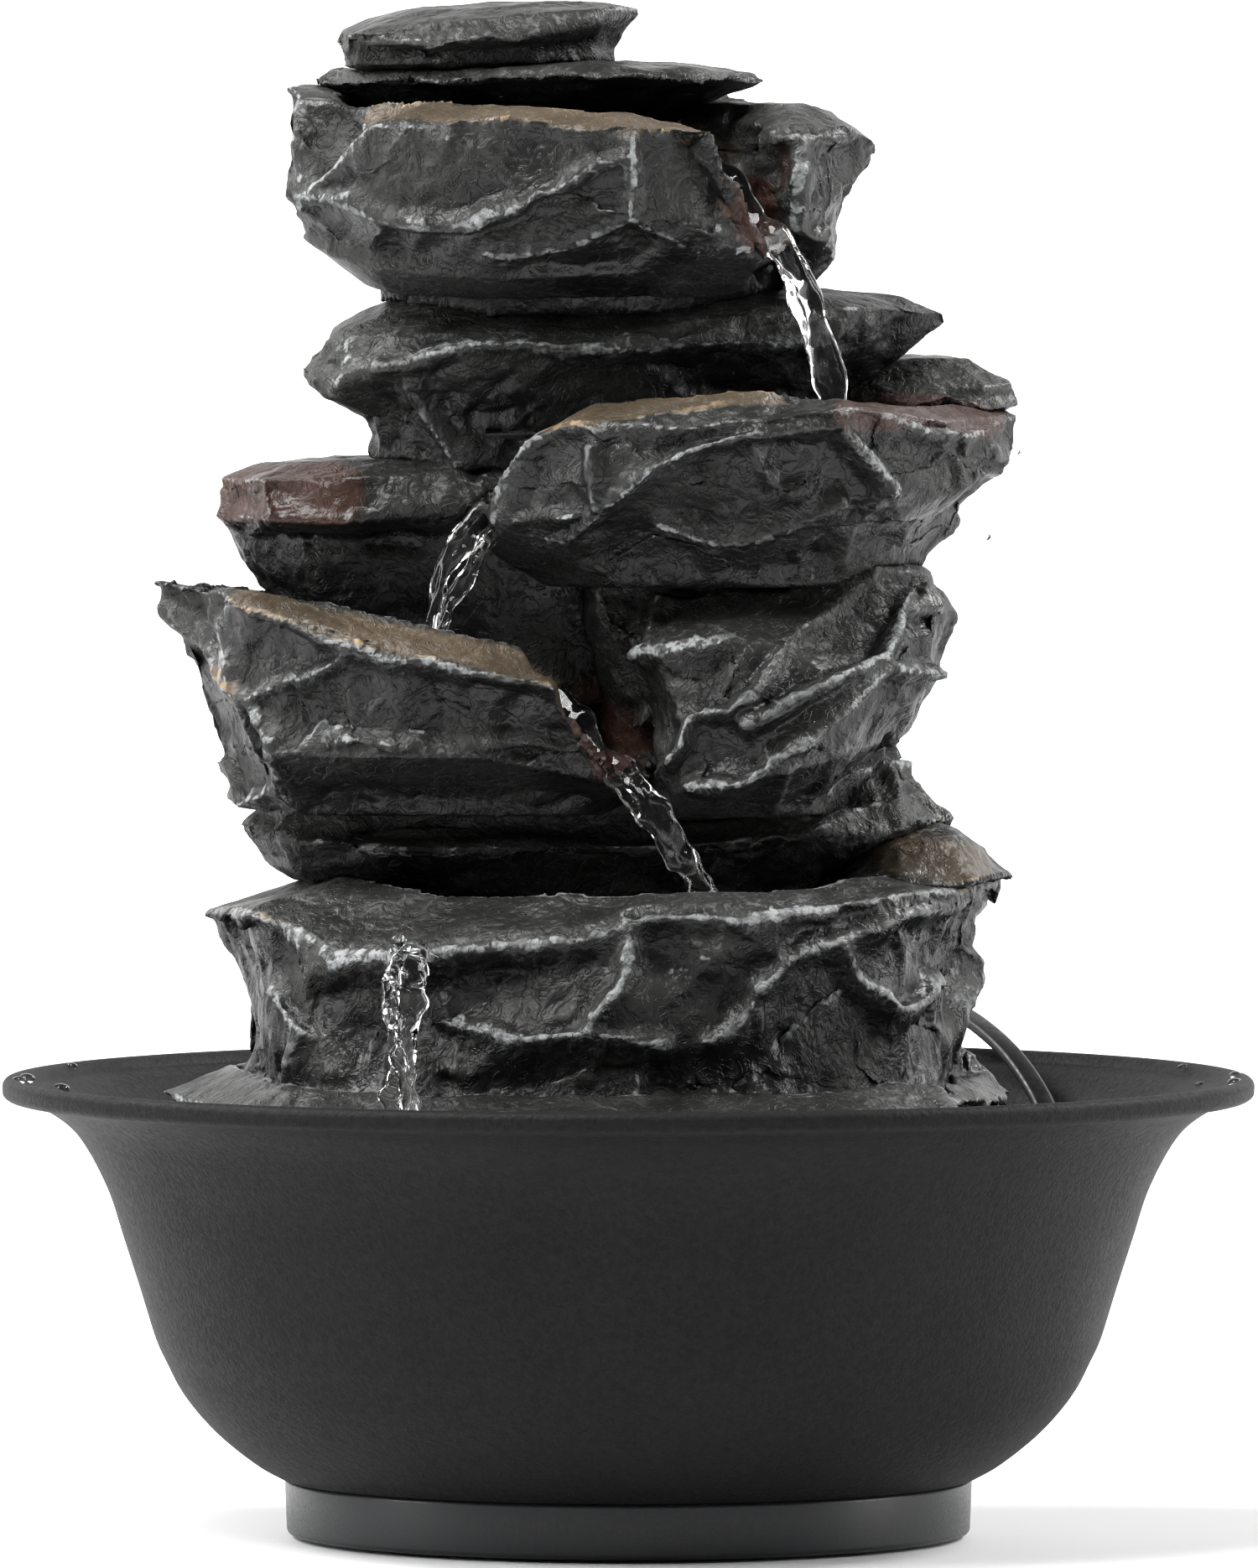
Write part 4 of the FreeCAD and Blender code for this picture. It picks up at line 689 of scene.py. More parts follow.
def fit(piece: bpy.types.Object, *nodes: str) -> bpy.types.Object:
    """Dress a finished piece, let it stand for CAD nodes, and let it ride with them."""
    dress(piece, SLOT_OF[nodes[0]])
    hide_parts(*nodes)
    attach(piece, BODY_OF[nodes[0]])
    LOG.info("%s stands for %s, %d faces", piece.name, ", ".join(nodes), len(piece.data.polygons))
    return piece


# ---------------------------------------------------------------- studio


@dataclass
class Studio:
    """Camera, pale floor and soft lights."""

    eye: tuple[float, float, float] = (0.0, -3.10, 0.255)
    aim: tuple[float, float, float] = (0.0001, 0.0, 0.1263)
    seen_height: float = 0.2627
    sensor_mm: float = 36.0

    def camera(self) -> None:
        """Stand the camera in front, a little above, and fit the fountain's height into its view."""
        away = (Vector(self.aim) - Vector(self.eye))
        data = bpy.data.cameras.new("camera")
        data.sensor_width = self.sensor_mm
        data.lens = self.sensor_mm * away.length / self.seen_height
        data.clip_end = 20.0
        camera = bpy.data.objects.new("camera", data)
        camera.location = self.eye
        camera.rotation_euler = away.to_track_quat("-Z", "Y").to_euler()
        bpy.context.scene.collection.objects.link(camera)
        bpy.context.scene.camera = camera

    def floor(self) -> None:
        """A pale floor that curves up far behind, lit from within where the lights don't reach."""
        bend = np.linspace(0, np.pi / 2, 24)
        y = np.concatenate([[-9.0, 1.2, 2.4], 8.2 + 0.8 * np.sin(bend), [9.0]])
        z = np.concatenate([[0.0, 0.0, 0.0], 0.8 - 0.8 * np.cos(bend), [6.0]])
        x = np.array([-9.0, 9.0])
        points = np.stack(np.broadcast_arrays(x[None, :], y[:, None], z[:, None]), axis=2).reshape(-1, 3)
        floor = new_piece("floor", points, grid_faces(len(y), 2, False, False)[:, ::-1])
        g = Graph("floor_paper")
        tone = g.noise(g.place(), 3.0)
        store(floor.data, "far", np.repeat(smoothstep(1.2, 2.4, y), 2))
        glow = g.mix(g.own("far"), (0, 0, 0, 1), (1, 1, 1, 1))
        paint = g.mix(tone, (0.86, 0.86, 0.86, 1), (0.9, 0.9, 0.9, 1))
        floor.data.materials.append(g.surface(Base_Color=paint, Roughness=0.8, Emission_Color=glow,
                                              Emission_Strength=1.0))

    def light(self, name: str, at: tuple[float, float, float], size: tuple[float, float],
              watts: float, aim: tuple[float, float, float] = (0.0, 0.0, 0.13)) -> None:
        """One soft rectangular light that faces a place, the fountain's middle unless told."""
        data = bpy.data.lights.new(name, "AREA")
        data.shape = "RECTANGLE"
        data.size, data.size_y = size
        data.energy = watts
        lamp = bpy.data.objects.new(name, data)
        lamp.location = at
        lamp.rotation_euler = (Vector(aim) - Vector(at)).to_track_quat("-Z", "Y").to_euler()
        bpy.context.scene.collection.objects.link(lamp)

    def lights(self) -> None:
        """A broad light overhead, one at each side, and a pale surround."""
        self.light("overhead", (-0.45, -0.55, 1.35), (0.7, 0.6), 27.0)
        self.light("left", (-1.3, -0.25, 0.7), (0.4, 1.2), 15.0)
        self.light("right", (1.25, 0.0, 0.6), (0.4, 1.2), 13.0)
        for side, name in ((-1, "left"), (1, "right")):
            self.light(f"floor_{name}", (1.5 * side, 0.9, 1.6), (0.6, 0.6), 60.0, (0.0, 2.2, 0.2))
        world = bpy.data.worlds.new("surround")
        world.use_nodes = True
        background = world.node_tree.nodes["Background"]
        background.inputs[0].default_value = (1, 1, 1, 1)
        background.inputs[1].default_value = 0.16
        bpy.context.scene.world = world
        bpy.context.scene.view_settings.view_transform = "Standard"


# ---------------------------------------------------------------- lead and adapter


@dataclass
class Lead:
    """The flat twin lead, in one length from the pump's gland to the adapter."""

    width_mm: float = 4.0
    strand_mm: float = 2.05
    coil_centre_mm: tuple[float, float] = (18.5, 166.0)
    turns_mm: tuple[tuple[float, float], ...] = (
        (22.0, 2.3), (18.2, 2.3), (18.2, 6.1), (22.0, 6.1), (25.9, 6.1), (25.9, 2.3), (25.9, 9.8),
        (22.0, 9.8))
    points_per_turn: int = 14
    run_mm: tuple[tuple[float, float, float], ...] = (
        (27, 14, 32.7), (43, 14.4, 32.7), (59, 17, 38), (70, 24, 52), (73, 35, 66), (67, 52, 76.5),
        (60, 70, 82.5), (52, 90, 86), (45, 107, 80), (42, 118, 64), (40, 123, 46), (40, 126, 28),
        (40.5, 133, 12), (41, 147, 4))
    tail_mm: tuple[tuple[float, float, float], ...] = (
        (2, 188, 7), (-6, 189.3, 4.8), (-16, 187, 4.2), (-29, 180, 6.5), (-36.2, 170.5, 10), (-38, 158, 12))

    def coil_points(self) -> Array:
        """The coil's turns: round the middle anticlockwise, each easing to the next one's size and height."""
        count = int(len(self.turns_mm) * self.points_per_turn + self.points_per_turn * 0.22)
        at = np.arange(count) / self.points_per_turn
        stops = np.array([*self.turns_mm, self.turns_mm[-1]])
        low = at.astype(int)
        ease = smoothstep(0.72, 1.0, at - low)[:, None]
        size = stops[low] * (1 - ease) + stops[np.minimum(low + 1, len(stops) - 1)] * ease
        angle = 2 * np.pi * (at - 0.012)
        x = self.coil_centre_mm[0] + size[:, 0] * np.cos(angle)
        y = self.coil_centre_mm[1] + size[:, 0] * np.sin(angle)
        return np.stack([x, y, size[:, 1]], axis=1)

    def line(self) -> Array:
        """The lead's middle line, read from a smooth spline through its control points."""
        points = np.vstack([self.run_mm, self.coil_points(), self.tail_mm]) * MM
        curve = bpy.data.curves.new("lead_route", "CURVE")
        curve.dimensions = "3D"
        spline = curve.splines.new("NURBS")
        spline.points.add(len(points) - 1)
        spline.points.foreach_set("co", np.hstack([points, np.ones((len(points), 1))]).ravel())
        spline.order_u = 3
        spline.use_endpoint_u = True
        spline.resolution_u = 6
        route = bpy.data.objects.new("lead_route", curve)
        mesh = bpy.data.meshes.new_from_object(route)
        found = corners_of(mesh)
        bpy.data.objects.remove(route)
        bpy.data.meshes.remove(mesh)
        return found

    def section(self, steps: int = 20) -> Array:
        """Two round strands side by side, joined by a thin web: a figure of eight."""
        half = self.strand_mm / 2
        reach = self.width_mm / 2 - half
        t = np.linspace(0, 2 * np.pi, steps, endpoint=False)
        across = np.sign(np.cos(t)) * reach + half * np.cos(t)
        high = np.maximum(np.abs(half * np.sin(t)), 0.0) * np.sign(np.sin(t))
        pinch = 1.0 - 0.42 * np.exp(-(across / 0.45) ** 2)
        return np.stack([across, high * pinch], axis=1) * MM

    def build(self) -> None:
        path = self.line()
        keep = np.concatenate([[True], np.linalg.norm(np.diff(path, axis=0), axis=1) > 1e-6])
        path = path[keep]
        up = np.tile([0.0, 0.0, 1.0], (len(path), 1))
        steep = np.abs(np.gradient(path[:, 2])) / np.linalg.norm(np.gradient(path, axis=0), axis=1)
        lean = smoothstep(0.5, 0.9, steep)[:, None]
        up = up * (1 - lean) + np.array([0.35, -0.94, 0.0]) * lean
        lead = closed_tube("twin_lead", tube_points(path, self.section(), up))
        fit(lead, "cord_run", "cord_coil", "cord_tail")
        length = float(np.linalg.norm(np.diff(path, axis=0), axis=1).sum())
        LOG.info("lead is %.3f m long", length)


# ---------------------------------------------------------------- bowl and foot


@dataclass
class Bowl:
    """The flared bowl on its foot ring; each is a closed profile turned about Z."""

    wall_mm: float = 2.2
    foot_mm: float = 10.0
    outside_mm: tuple[tuple[float, float], ...] = (
        (58.2, 10.0), (62.5, 12.4), (68, 16.7), (72.1, 20.9), (75.2, 25.1), (77.4, 29.4), (79.3, 33.6),
        (81.9, 42.0), (84.6, 50.4), (87.4, 58.9), (92.0, 67.3), (96.8, 71.5), (101.3, 73.4))
    lip_mm: tuple[tuple[float, float], ...] = (
        (102.6, 73.35), (103.9, 73.6), (104.75, 74.3), (104.9, 75.3), (104.85, 76.2), (104.3, 77.0),
        (103.3, 77.3), (102.2, 76.95), (101.2, 76.2))

    def profile(self) -> Array:
        """The bowl's section: outside, rolled lip, inside, and the locating rib under the floor."""
        outside = smooth_line(list(self.outside_mm), 90)
        slope = np.gradient(outside, axis=0)
        slope /= np.linalg.norm(slope, axis=1, keepdims=True)
        inside = outside + self.wall_mm * np.stack([-slope[:, 1], slope[:, 0]], axis=1)
        inside = inside[inside[:, 1] > self.foot_mm + self.wall_mm][::-1]
        floor = self.foot_mm + self.wall_mm
        lip = smooth_line([outside[-1], *self.lip_mm, inside[0]], 44)[1:-1]
        rib = [(52.3, 10.0), (52.3, 7.2), (54.0, 7.2), (54.0, 10.0)]
        return np.vstack([[(0.02, 10.0), (50, 10.0)], rib, outside, lip, inside,
                          [(50, floor), (0.02, floor)]])

    def build(self) -> None:
        """Make the bowl and the foot ring."""
        fit(lathe("bowl_shell", self.profile() * MM, 256), "bowl")
        edge = np.linspace(0, np.pi / 2, 8)
        low = np.stack([56.3 + np.sin(edge), 1.6 - np.cos(edge)], axis=1)
        high = np.stack([56.9 + 0.7 * np.cos(edge), 9.2 + 0.7 * np.sin(edge)], axis=1)
        inner = [(54.2, 9.9), (54.2, 3.6), (53.8, 3.2), (41.6, 3.2), (41.2, 2.8), (41.2, 1.0), (41.6, 0.6)]
        ring = lathe("foot_ring_shell", np.vstack([low, high, inner]) * MM, 256)
        fit(ring, "foot_ring")


# ---------------------------------------------------------------- cascade


class Mark(Enum):
    """What a stroke does to the stones' faces."""

    RIDGE = "ridge"
    GROOVE = "groove"
    OCHRE = "ochre"
    RUST = "rust"


@dataclass(frozen=True)
class Stroke:
    """A line on the cascade's face, as (x, z) seen from the front, in millimetres."""

    mark: Mark
    line: tuple[tuple[float, float], ...]
    width: float
    strength: float = 1.0


R, V, O, T = Mark.RIDGE, Mark.GROOVE, Mark.OCHRE, Mark.RUST
STROKES = (
    # cap stone and cover slab
    Stroke(R, ((-47, 250.3), (-36, 250), (-25, 250.4), (-16, 252.6), (-8, 255), (1, 255.4)), 3.0, 0.8),
    Stroke(V, ((-46, 248), (-30, 247.6), (-12, 249.5), (-4, 251)), 3.0, 1.1),
    Stroke(R, ((-20, 245), (-6, 244.8), (8, 244), (21, 243.2)), 2.0, 0.6),
    # top basin
    Stroke(R, ((-55, 240), (-55.6, 231), (-55, 223)), 3.0, 0.9),
    Stroke(V, ((-44.6, 241), (-48, 236), (-51, 231), (-54.4, 228)), 5.0, 2.0),
    Stroke(R, ((-44, 237.5), (-46, 234.5), (-50.9, 228.8), (-54.4, 223.9), (-56.2, 220.4)), 4.0, 1.0),
    Stroke(R, ((-44, 239), (-36, 236.4), (-30.5, 237.4), (-20, 236.8), (-10, 236), (-2, 234.3),
               (8, 234.8)), 2.2, 0.7),
    Stroke(R, ((-55, 224.6), (-49.5, 224.2), (-41.7, 221.4), (-34, 219.6), (-27, 219), (-21, 221),
               (-17.1, 223),
               (-10.1, 226.7), (-5.2, 229.5), (0, 231)), 4.5, 1.3),
    Stroke(V, ((-38, 215.5), (-28, 216), (-20, 218.2), (-12, 222), (-5, 225.4), (0, 226.5)), 4.5, 1.3),
    Stroke(R, ((-24.2, 215), (-17.1, 214.8), (-10.1, 216.2), (-5.2, 218.3), (0.4, 221.1), (2.5, 219.7),
               (13.8, 215.1), (20, 216)), 3.5, 1.3),
    Stroke(R, ((0.3, 234), (0.8, 228), (0.3, 221)), 4.0, 1.1),
    Stroke(R, ((14.5, 235.1), (17.3, 230.9), (19, 224.6), (20.4, 219.6), (23.3, 215.1)), 2.5, 0.8),
    Stroke(V, ((10, 212), (16, 213.5), (22, 212)), 3.0, 1.0),
    # spout cheek
    Stroke(R, ((28.5, 234), (28.8, 228), (28.5, 220)), 4.0, 1.5),
    Stroke(R, ((23.6, 236), (28.5, 233.6), (37, 234.6)), 2.4, 0.9),
    Stroke(R, ((41.5, 231), (38, 224), (34, 217), (31.5, 212)), 3.0, 0.7),
    # upper ledge
    Stroke(R, ((-46.5, 200), (-46.7, 196), (-50, 191)), 3.0, 1.0),
    Stroke(R, ((-41.7, 195.8), (-34, 198.4), (-26, 200), (-18, 200.2), (-11.9, 197.9), (-8.3, 199),
               (4, 199.5),
               (12.7, 200.3), (30, 200)), 2.6, 1.0),
    Stroke(R, ((-37.3, 195.5), (-34, 188), (-28.6, 179.7), (-26, 174)), 3.4, 1.6),
    Stroke(V, ((-30, 194), (-26, 186), (-25, 179)), 5.0, 1.5),
    Stroke(R, ((-14, 190.5), (-18, 188.5), (-22, 182.5), (-24.6, 177)), 3.0, 1.3),
    Stroke(V, ((-4, 193.5), (10, 195.5), (26, 196)), 3.0, 1.2),
    # right basin
    Stroke(R, ((-22, 170), (-20.6, 176.2), (-16.7, 183.5), (-13, 185.8), (-4.8, 186.6), (4, 187.7),
               (16.3, 189.4)), 2.6, 1.0),
    Stroke(R, ((-7, 183), (-6.6, 178), (-5.7, 172)), 4.0, 1.2),
    Stroke(V, ((-12, 182), (-14, 175), (-16, 168)), 4.0, 0.9),
    Stroke(R, ((-16, 167.5), (-10.1, 166.8), (-5.7, 170.9), (-0.4, 175.3), (4, 179), (11, 182.7),
               (19.8, 184.5),
               (30.3, 185.8), (36, 186.3)), 3.6, 1.2),
    Stroke(V, ((2, 173.4), (8, 178), (18, 180.6), (30, 181), (37, 179)), 4.0, 1.2),
    Stroke(R, ((4.8, 170), (13.6, 166.8), (21.5, 166.6), (29.4, 169.6), (36.5, 173.1)), 3.4, 1.0),
    Stroke(R, ((35.6, 189), (36, 185.3), (41.7, 178.9), (46.1, 172.3), (50.5, 169.4), (60.6, 169.8),
               (64.6, 178)), 3.4, 1.4),
    Stroke(R, ((36, 188.4), (40, 189.3), (46.1, 186.7), (52.3, 184.8), (59.3, 185.8), (64, 188)), 2.4, 0.9),
    Stroke(R, ((60, 186), (62.4, 179), (61, 172)), 3.4, 0.8),
    # left slab
    Stroke(R, ((-68, 170.4), (-57, 170), (-40, 170), (-33, 171), (-27.7, 172.2)), 2.4, 0.9),
    Stroke(V, ((-68, 173.6), (-57.5, 175.3), (-46, 174.6)), 2.2, 0.8),
    Stroke(V, ((-66, 167), (-50, 166.4), (-34, 166.8)), 4.0, 1.6),
    # left basin
    Stroke(R, ((-79, 156), (-70.1, 146.9), (-65, 140.3), (-60.3, 130), (-57, 122.6)), 4.0, 1.5),
    Stroke(R, ((-66.4, 157.2), (-68.2, 152.6), (-66.8, 142.3)), 3.0, 1.0),
    Stroke(V, ((-71, 157), (-73, 151), (-70.5, 147.5)), 3.6, 1.0),
    Stroke(R, ((-66, 156.5), (-57.9, 154.4), (-51.4, 150.2), (-45.7, 149.3), (-41, 147), (-32.6, 146.5),
               (-27, 144.6),
               (-19.5, 143.2), (-12, 142.3), (-8.2, 138.5), (-6.4, 132.9), (-4.5, 127.3)), 2.6, 1.2),
    Stroke(R, ((-47.6, 148), (-55, 143.6), (-63.5, 140.4)), 3.0, 0.9),
    Stroke(V, ((-52, 139), (-40, 141), (-28, 139.5), (-16, 137)), 5.0, 1.2),
    Stroke(R, ((-60, 131), (-46, 132.4), (-30, 131.4), (-17, 132.6), (-8, 131)), 3.0, 0.8),
    # boulder
    Stroke(R, ((19.9, 135.7), (32, 142.3), (43.3, 147.9), (47, 158.2)), 4.4, 1.5),
    Stroke(V, ((16, 133), (30, 138), (42, 144.5), (50, 151)), 3.6, 1.3),
    Stroke(R, ((8.6, 125.3), (19.9, 126.4), (27.4, 131), (36.7, 138.5), (44.2, 146),
               (53.6, 144.1)), 4.0, 1.4),
    Stroke(R, ((0.2, 147.9), (16.1, 150.7), (26.4, 150.2), (21.7, 142.3), (17.1, 138), (10.5, 137.6),
               (8.6, 132.9),
               (5, 127.4)), 3.0, 1.2),
    Stroke(V, ((-5, 158), (10, 156), (30, 157.6), (44, 160)), 4.0, 1.4),
    # shoulder and lower ledge
    Stroke(R, ((37.1, 115.6), (44.6, 118), (54.9, 118.4), (60.5, 111), (64.9, 110.8)), 2.6, 0.9),
    Stroke(R, ((36, 109), (45, 111.5), (55, 108.4), (60, 110.6)), 2.4, 0.9),
    Stroke(V, ((-60, 119.5), (-40, 118), (-16, 119), (8, 117.4), (30, 119)), 2.6, 1.0),
    # base rock
    Stroke(R, ((-70.8, 105.2), (-61.4, 104.1), (-55.8, 101.5), (-49.2, 97.9), (-40.3, 97.4), (-32.3, 97.4),
               (-20.1, 98.9), (-8.9, 99.8), (-2.3, 102.2), (4.2, 103.4), (21.1, 103.9),
               (28.6, 105)), 2.8, 1.2),
    Stroke(R, ((53.9, 105.7), (45.5, 103.8), (37.1, 101), (27.7, 97.3), (22.1, 91.7), (18.3, 86),
               (13.6, 83.2)), 4.4, 1.7),
    Stroke(V, ((50, 100), (40, 96), (31, 91), (25, 84), (20, 79)), 4.4, 1.3),
    Stroke(R, ((0, 103.6), (0.4, 97), (-1.5, 91), (-6, 86)), 4.0, 1.3),
    Stroke(R, ((-60.5, 91.5), (-55.3, 86), (-56.7, 79.9)), 3.6, 1.3),
    Stroke(V, ((-52, 92), (-46, 86), (-44, 79)), 4.6, 1.3),
    Stroke(R, ((36, 99), (40, 93), (47, 89), (53, 92)), 3.6, 1.0),
    Stroke(V, ((-30, 91), (-18, 93), (-7, 92)), 4.4, 1.2),
    Stroke(R, ((-32, 86), (-20, 84), (-8, 85.4), (6, 82)), 3.4, 1.0),
    Stroke(R, ((59.9, 97), (58, 89), (59, 80)), 3.4, 1.0),
    # stains
    Stroke(O, ((-42, 239), (-30, 238.6), (-18, 238.2), (-6, 237.6), (4, 236), (12, 235)), 1.7, 1.0),
    Stroke(O, ((14.8, 233), (17.4, 227), (18.8, 221)), 1.8, 0.9),
    Stroke(O, ((-14, 186.4), (-5, 187.9), (5, 189.6), (17, 191.2), (26, 192)), 1.7, 1.0),
    Stroke(O, ((-64, 156.8), (-54, 154), (-44, 151.6), (-30, 148.8), (-18, 146), (-11, 142.4),
               (-7, 137)), 2.8, 0.9),
    Stroke(O, ((45, 115), (52, 113.6), (57, 112)), 4.0, 0.9),
    Stroke(O, ((-66, 105), (-58, 103)), 1.6, 0.5),
    Stroke(O, ((-68.2, 144.4), (-67.2, 141.6)), 1.7, 1.4),
    Stroke(T, ((-66, 174.5), (-57, 174), (-50, 174.5)), 5.5, 1.0),
    Stroke(T, ((37, 188.4), (46, 189), (60, 188)), 2.6, 1.0),
    Stroke(T, ((21, 224), (23, 219)), 4.0, 1.0),
    Stroke(T, ((26, 232), (25, 227)), 3.0, 0.5),
    Stroke(T, ((-6, 140), (-2, 131)), 4.6, 1.0),
)


def seen_from_front(points: Array) -> Array:
    """Where points appear from the front, as (x, z) in the plane through the fountain's axis.

    Each point is carried along its sight line from the eye to the plane y = 0.
    """
    eye = Studio().eye
    share = -eye[1] / (points[:, 1] - eye[1])
    return np.stack([points[:, 0] * share, eye[2] + (points[:, 2] - eye[2]) * share], axis=1)


TUBE_MM = (-10.0, 14.0)
HOLLOW_MM = ((-47.0, -23.5, -1.0), (33.5, 33.0, 95.5))
RIDGE_SPREAD = 1.7             # of the stroke's width
RIDGE_HEIGHT = 0.6             # of the stroke's strength, in millimetres
STAIN_SPREAD = 2.0             # of the stroke's width
LINE_REACH = 4.0               # millimetres from a ridge's line
CHIP_EVERY = 110.0             # square millimetres to a large chip
SMALL_CHIP_EVERY = 40.0


@dataclass
class Stone:
    """One stone of the cascade, cut finer than its frame solid and weathered."""

    node: str
    grain_mm: float = 0.9
    seed: int = 1
    chip_mm: float = 22.0
    chip_depth_mm: float = 2.2
    layer_depth_mm: float = 0.3
    flat_below_mm: float = 16.0

    def fine_mesh(self) -> bpy.types.Mesh:
        """The frame solid's shape with its corners merged, rebuilt from small even faces."""
        source = frame["nodes"][self.node].data.copy()
        shape = bmesh.new()
        shape.from_mesh(source)
        bmesh.ops.remove_doubles(shape, verts=shape.verts, dist=1e-6)
        shape.to_mesh(source)
        shape.free()
        holder = bpy.data.objects.new("holder", source)
        bpy.context.scene.collection.objects.link(holder)
        remesh = holder.modifiers.new("even", "REMESH")
        remesh.mode = "VOXEL"
        remesh.voxel_size = self.grain_mm * MM * 1.0
        bpy.context.view_layer.update()
        made = bpy.data.meshes.new_from_object(holder.evaluated_get(bpy.context.evaluated_depsgraph_get()))
        bpy.data.objects.remove(holder)
        bpy.data.meshes.remove(source)
        return made

    @staticmethod
    def normals(mesh: bpy.types.Mesh) -> Array:
        """A mesh's corner normals, (n, 3)."""
        mesh.update()
        found = np.empty(len(mesh.vertices) * 3)
        mesh.vertex_normals.foreach_get("vector", found)
        return found.reshape(-1, 3)

    @staticmethod
    def eased(points: Array, ends: Array, rounds: int) -> Array:
        """Points moved to their neighbours' mean, a few times over."""
        count = len(points)
        degree = np.bincount(ends.ravel(), minlength=count)[:, None]
        for _ in range(rounds):
            total = np.stack([np.bincount(ends[:, 0], points[ends[:, 1], k], count)
                              + np.bincount(ends[:, 1], points[ends[:, 0], k], count)
                              for k in range(3)], axis=1)
            points = 0.5 * points + 0.5 * total / degree
        return points

    @staticmethod
    def moved(mesh: bpy.types.Mesh, points: Array) -> Array:
        """Put a mesh's corners at points, and return its new normals."""
        mesh.vertices.foreach_set("co", points.ravel())
        return Stone.normals(mesh)

    def touched(self, points: Array, normal: Array) -> tuple[dict[Mark, Array], Array]:
        """What the strokes do to the corners.

        Args:
            points: places, (n, 3).
            normal: the surface's normals there, (n, 3).

        Returns:
            How strongly each mark reaches each corner, 0 to about 1, and the strokes' height in
            millimetres: the tallest ridge there less the deepest groove.
        """
        seen = seen_from_front(points) / MM
        front = smoothstep(-0.25, 0.35, -normal[:, 1] + 0.35 * normal[:, 2])
        reached = {mark: np.zeros(len(points)) for mark in Mark}
        raised, sunken = np.zeros(len(points)), np.zeros(len(points))
        wobble = noise(points, 0.005, self.seed + 70) * 0.35
        for stroke in STROKES:
            away = line_distance(seen, np.array(stroke.line)) + wobble
            if stroke.mark is Mark.RIDGE:
                share = np.clip(1.0 - away / (RIDGE_SPREAD * stroke.width), 0, 1)
                raised = np.maximum(raised, share * stroke.strength * RIDGE_HEIGHT)
                touch = np.clip(1.0 - away / LINE_REACH, 0, 1) * min(1.0, stroke.strength)
            elif stroke.mark is Mark.GROOVE:
                sunken = np.maximum(sunken, smoothstep(0, 1, 1.0 - away / stroke.width) * stroke.strength)
                touch = np.zeros(len(points))
            else:
                touch = np.clip(1.0 - away / (STAIN_SPREAD * stroke.width), 0, 1) * stroke.strength
            reached[stroke.mark] = np.maximum(reached[stroke.mark], touch * front)
        return reached, (raised - sunken) * front

    def struck(self, points: Array, normal: Array, held: Array) -> Array:
        """The points after large chips, then small ones, each kind as many as the area asks for."""
        area = len(points) * (self.grain_mm * 1.0) ** 2
        reach, depth = self.chip_mm * MM, self.chip_depth_mm * MM
        points = chiselled(points, normal, int(area / CHIP_EVERY), reach, depth, held, self.seed)
        return chiselled(points, normal, int(area / SMALL_CHIP_EVERY), 0.4 * reach, 0.4 * depth, held,
                         self.seed + 3)

    def roughened(self, points: Array, normal: Array) -> Array:
        """Heights in millimetres of the thin layers on the sides, the facets and the grain."""
        patchy = smoothstep(-0.25, 0.5, noise(points, 0.016, self.seed + 80))
        side = 1.0 - np.abs(normal[:, 2])
        layer = chipped(points, (0.03, 0.03, 0.0035), self.seed + 40) * self.layer_depth_mm * side
        small = faceted(points, (0.005, 0.005, 0.004), self.seed + 25) * 0.32 * (0.4 + 0.6 * patchy)
        return layer * (1 - patchy) + small + fractal(points, 0.003, 3, self.seed + 60) * 0.12

    def worn(self, mesh: bpy.types.Mesh, points: Array, ends: Array, reached: dict[Mark, Array]) -> None:
        """Keep on the mesh where edges, lines and stains are, and where light is painted on upward faces and
        shade is painted in recesses and undersides.

        An edge stands above its near neighbours' mean and a recess lies below the mean of those
        further off; fine and broad are those heights in millimetres.
        """
        normal = self.moved(mesh, points)
        fine = np.sum((points - self.eased(points, ends, 5)) * normal, axis=1) / MM
        broad = np.sum((points - self.eased(points, ends, 60)) * normal, axis=1) / MM
        up = smoothstep(-0.55, 0.45, normal[:, 2])
        store(mesh, "edge", smoothstep(0.03, 0.42, fine) * (0.4 + 0.6 * up))
        store(mesh, "ridge", reached[Mark.RIDGE])
        # Painted shade mask: broad and fine recesses, undersides and, weakly, level tops.
        store(mesh, "painted_shade", np.clip(smoothstep(-0.3, -1.9, broad) * 0.75
                                      + smoothstep(-0.08, -0.3, fine) * 0.5
                                      + smoothstep(-0.25, -0.8, normal[:, 2]) * 0.5
                                      + smoothstep(0.6, 0.95, normal[:, 2]) * 0.3, 0, 1))
        # Painted light mask: upward faces outside broad recesses; the finish also puts dry-brush flecks where
        # it is high.
        store(mesh, "open", up * smoothstep(-1.2, 0.5, broad))
        store(mesh, "ochre", reached[Mark.OCHRE] * smoothstep(-0.35, 0.3, normal[:, 2]))
        store(mesh, "rust", reached[Mark.RUST])

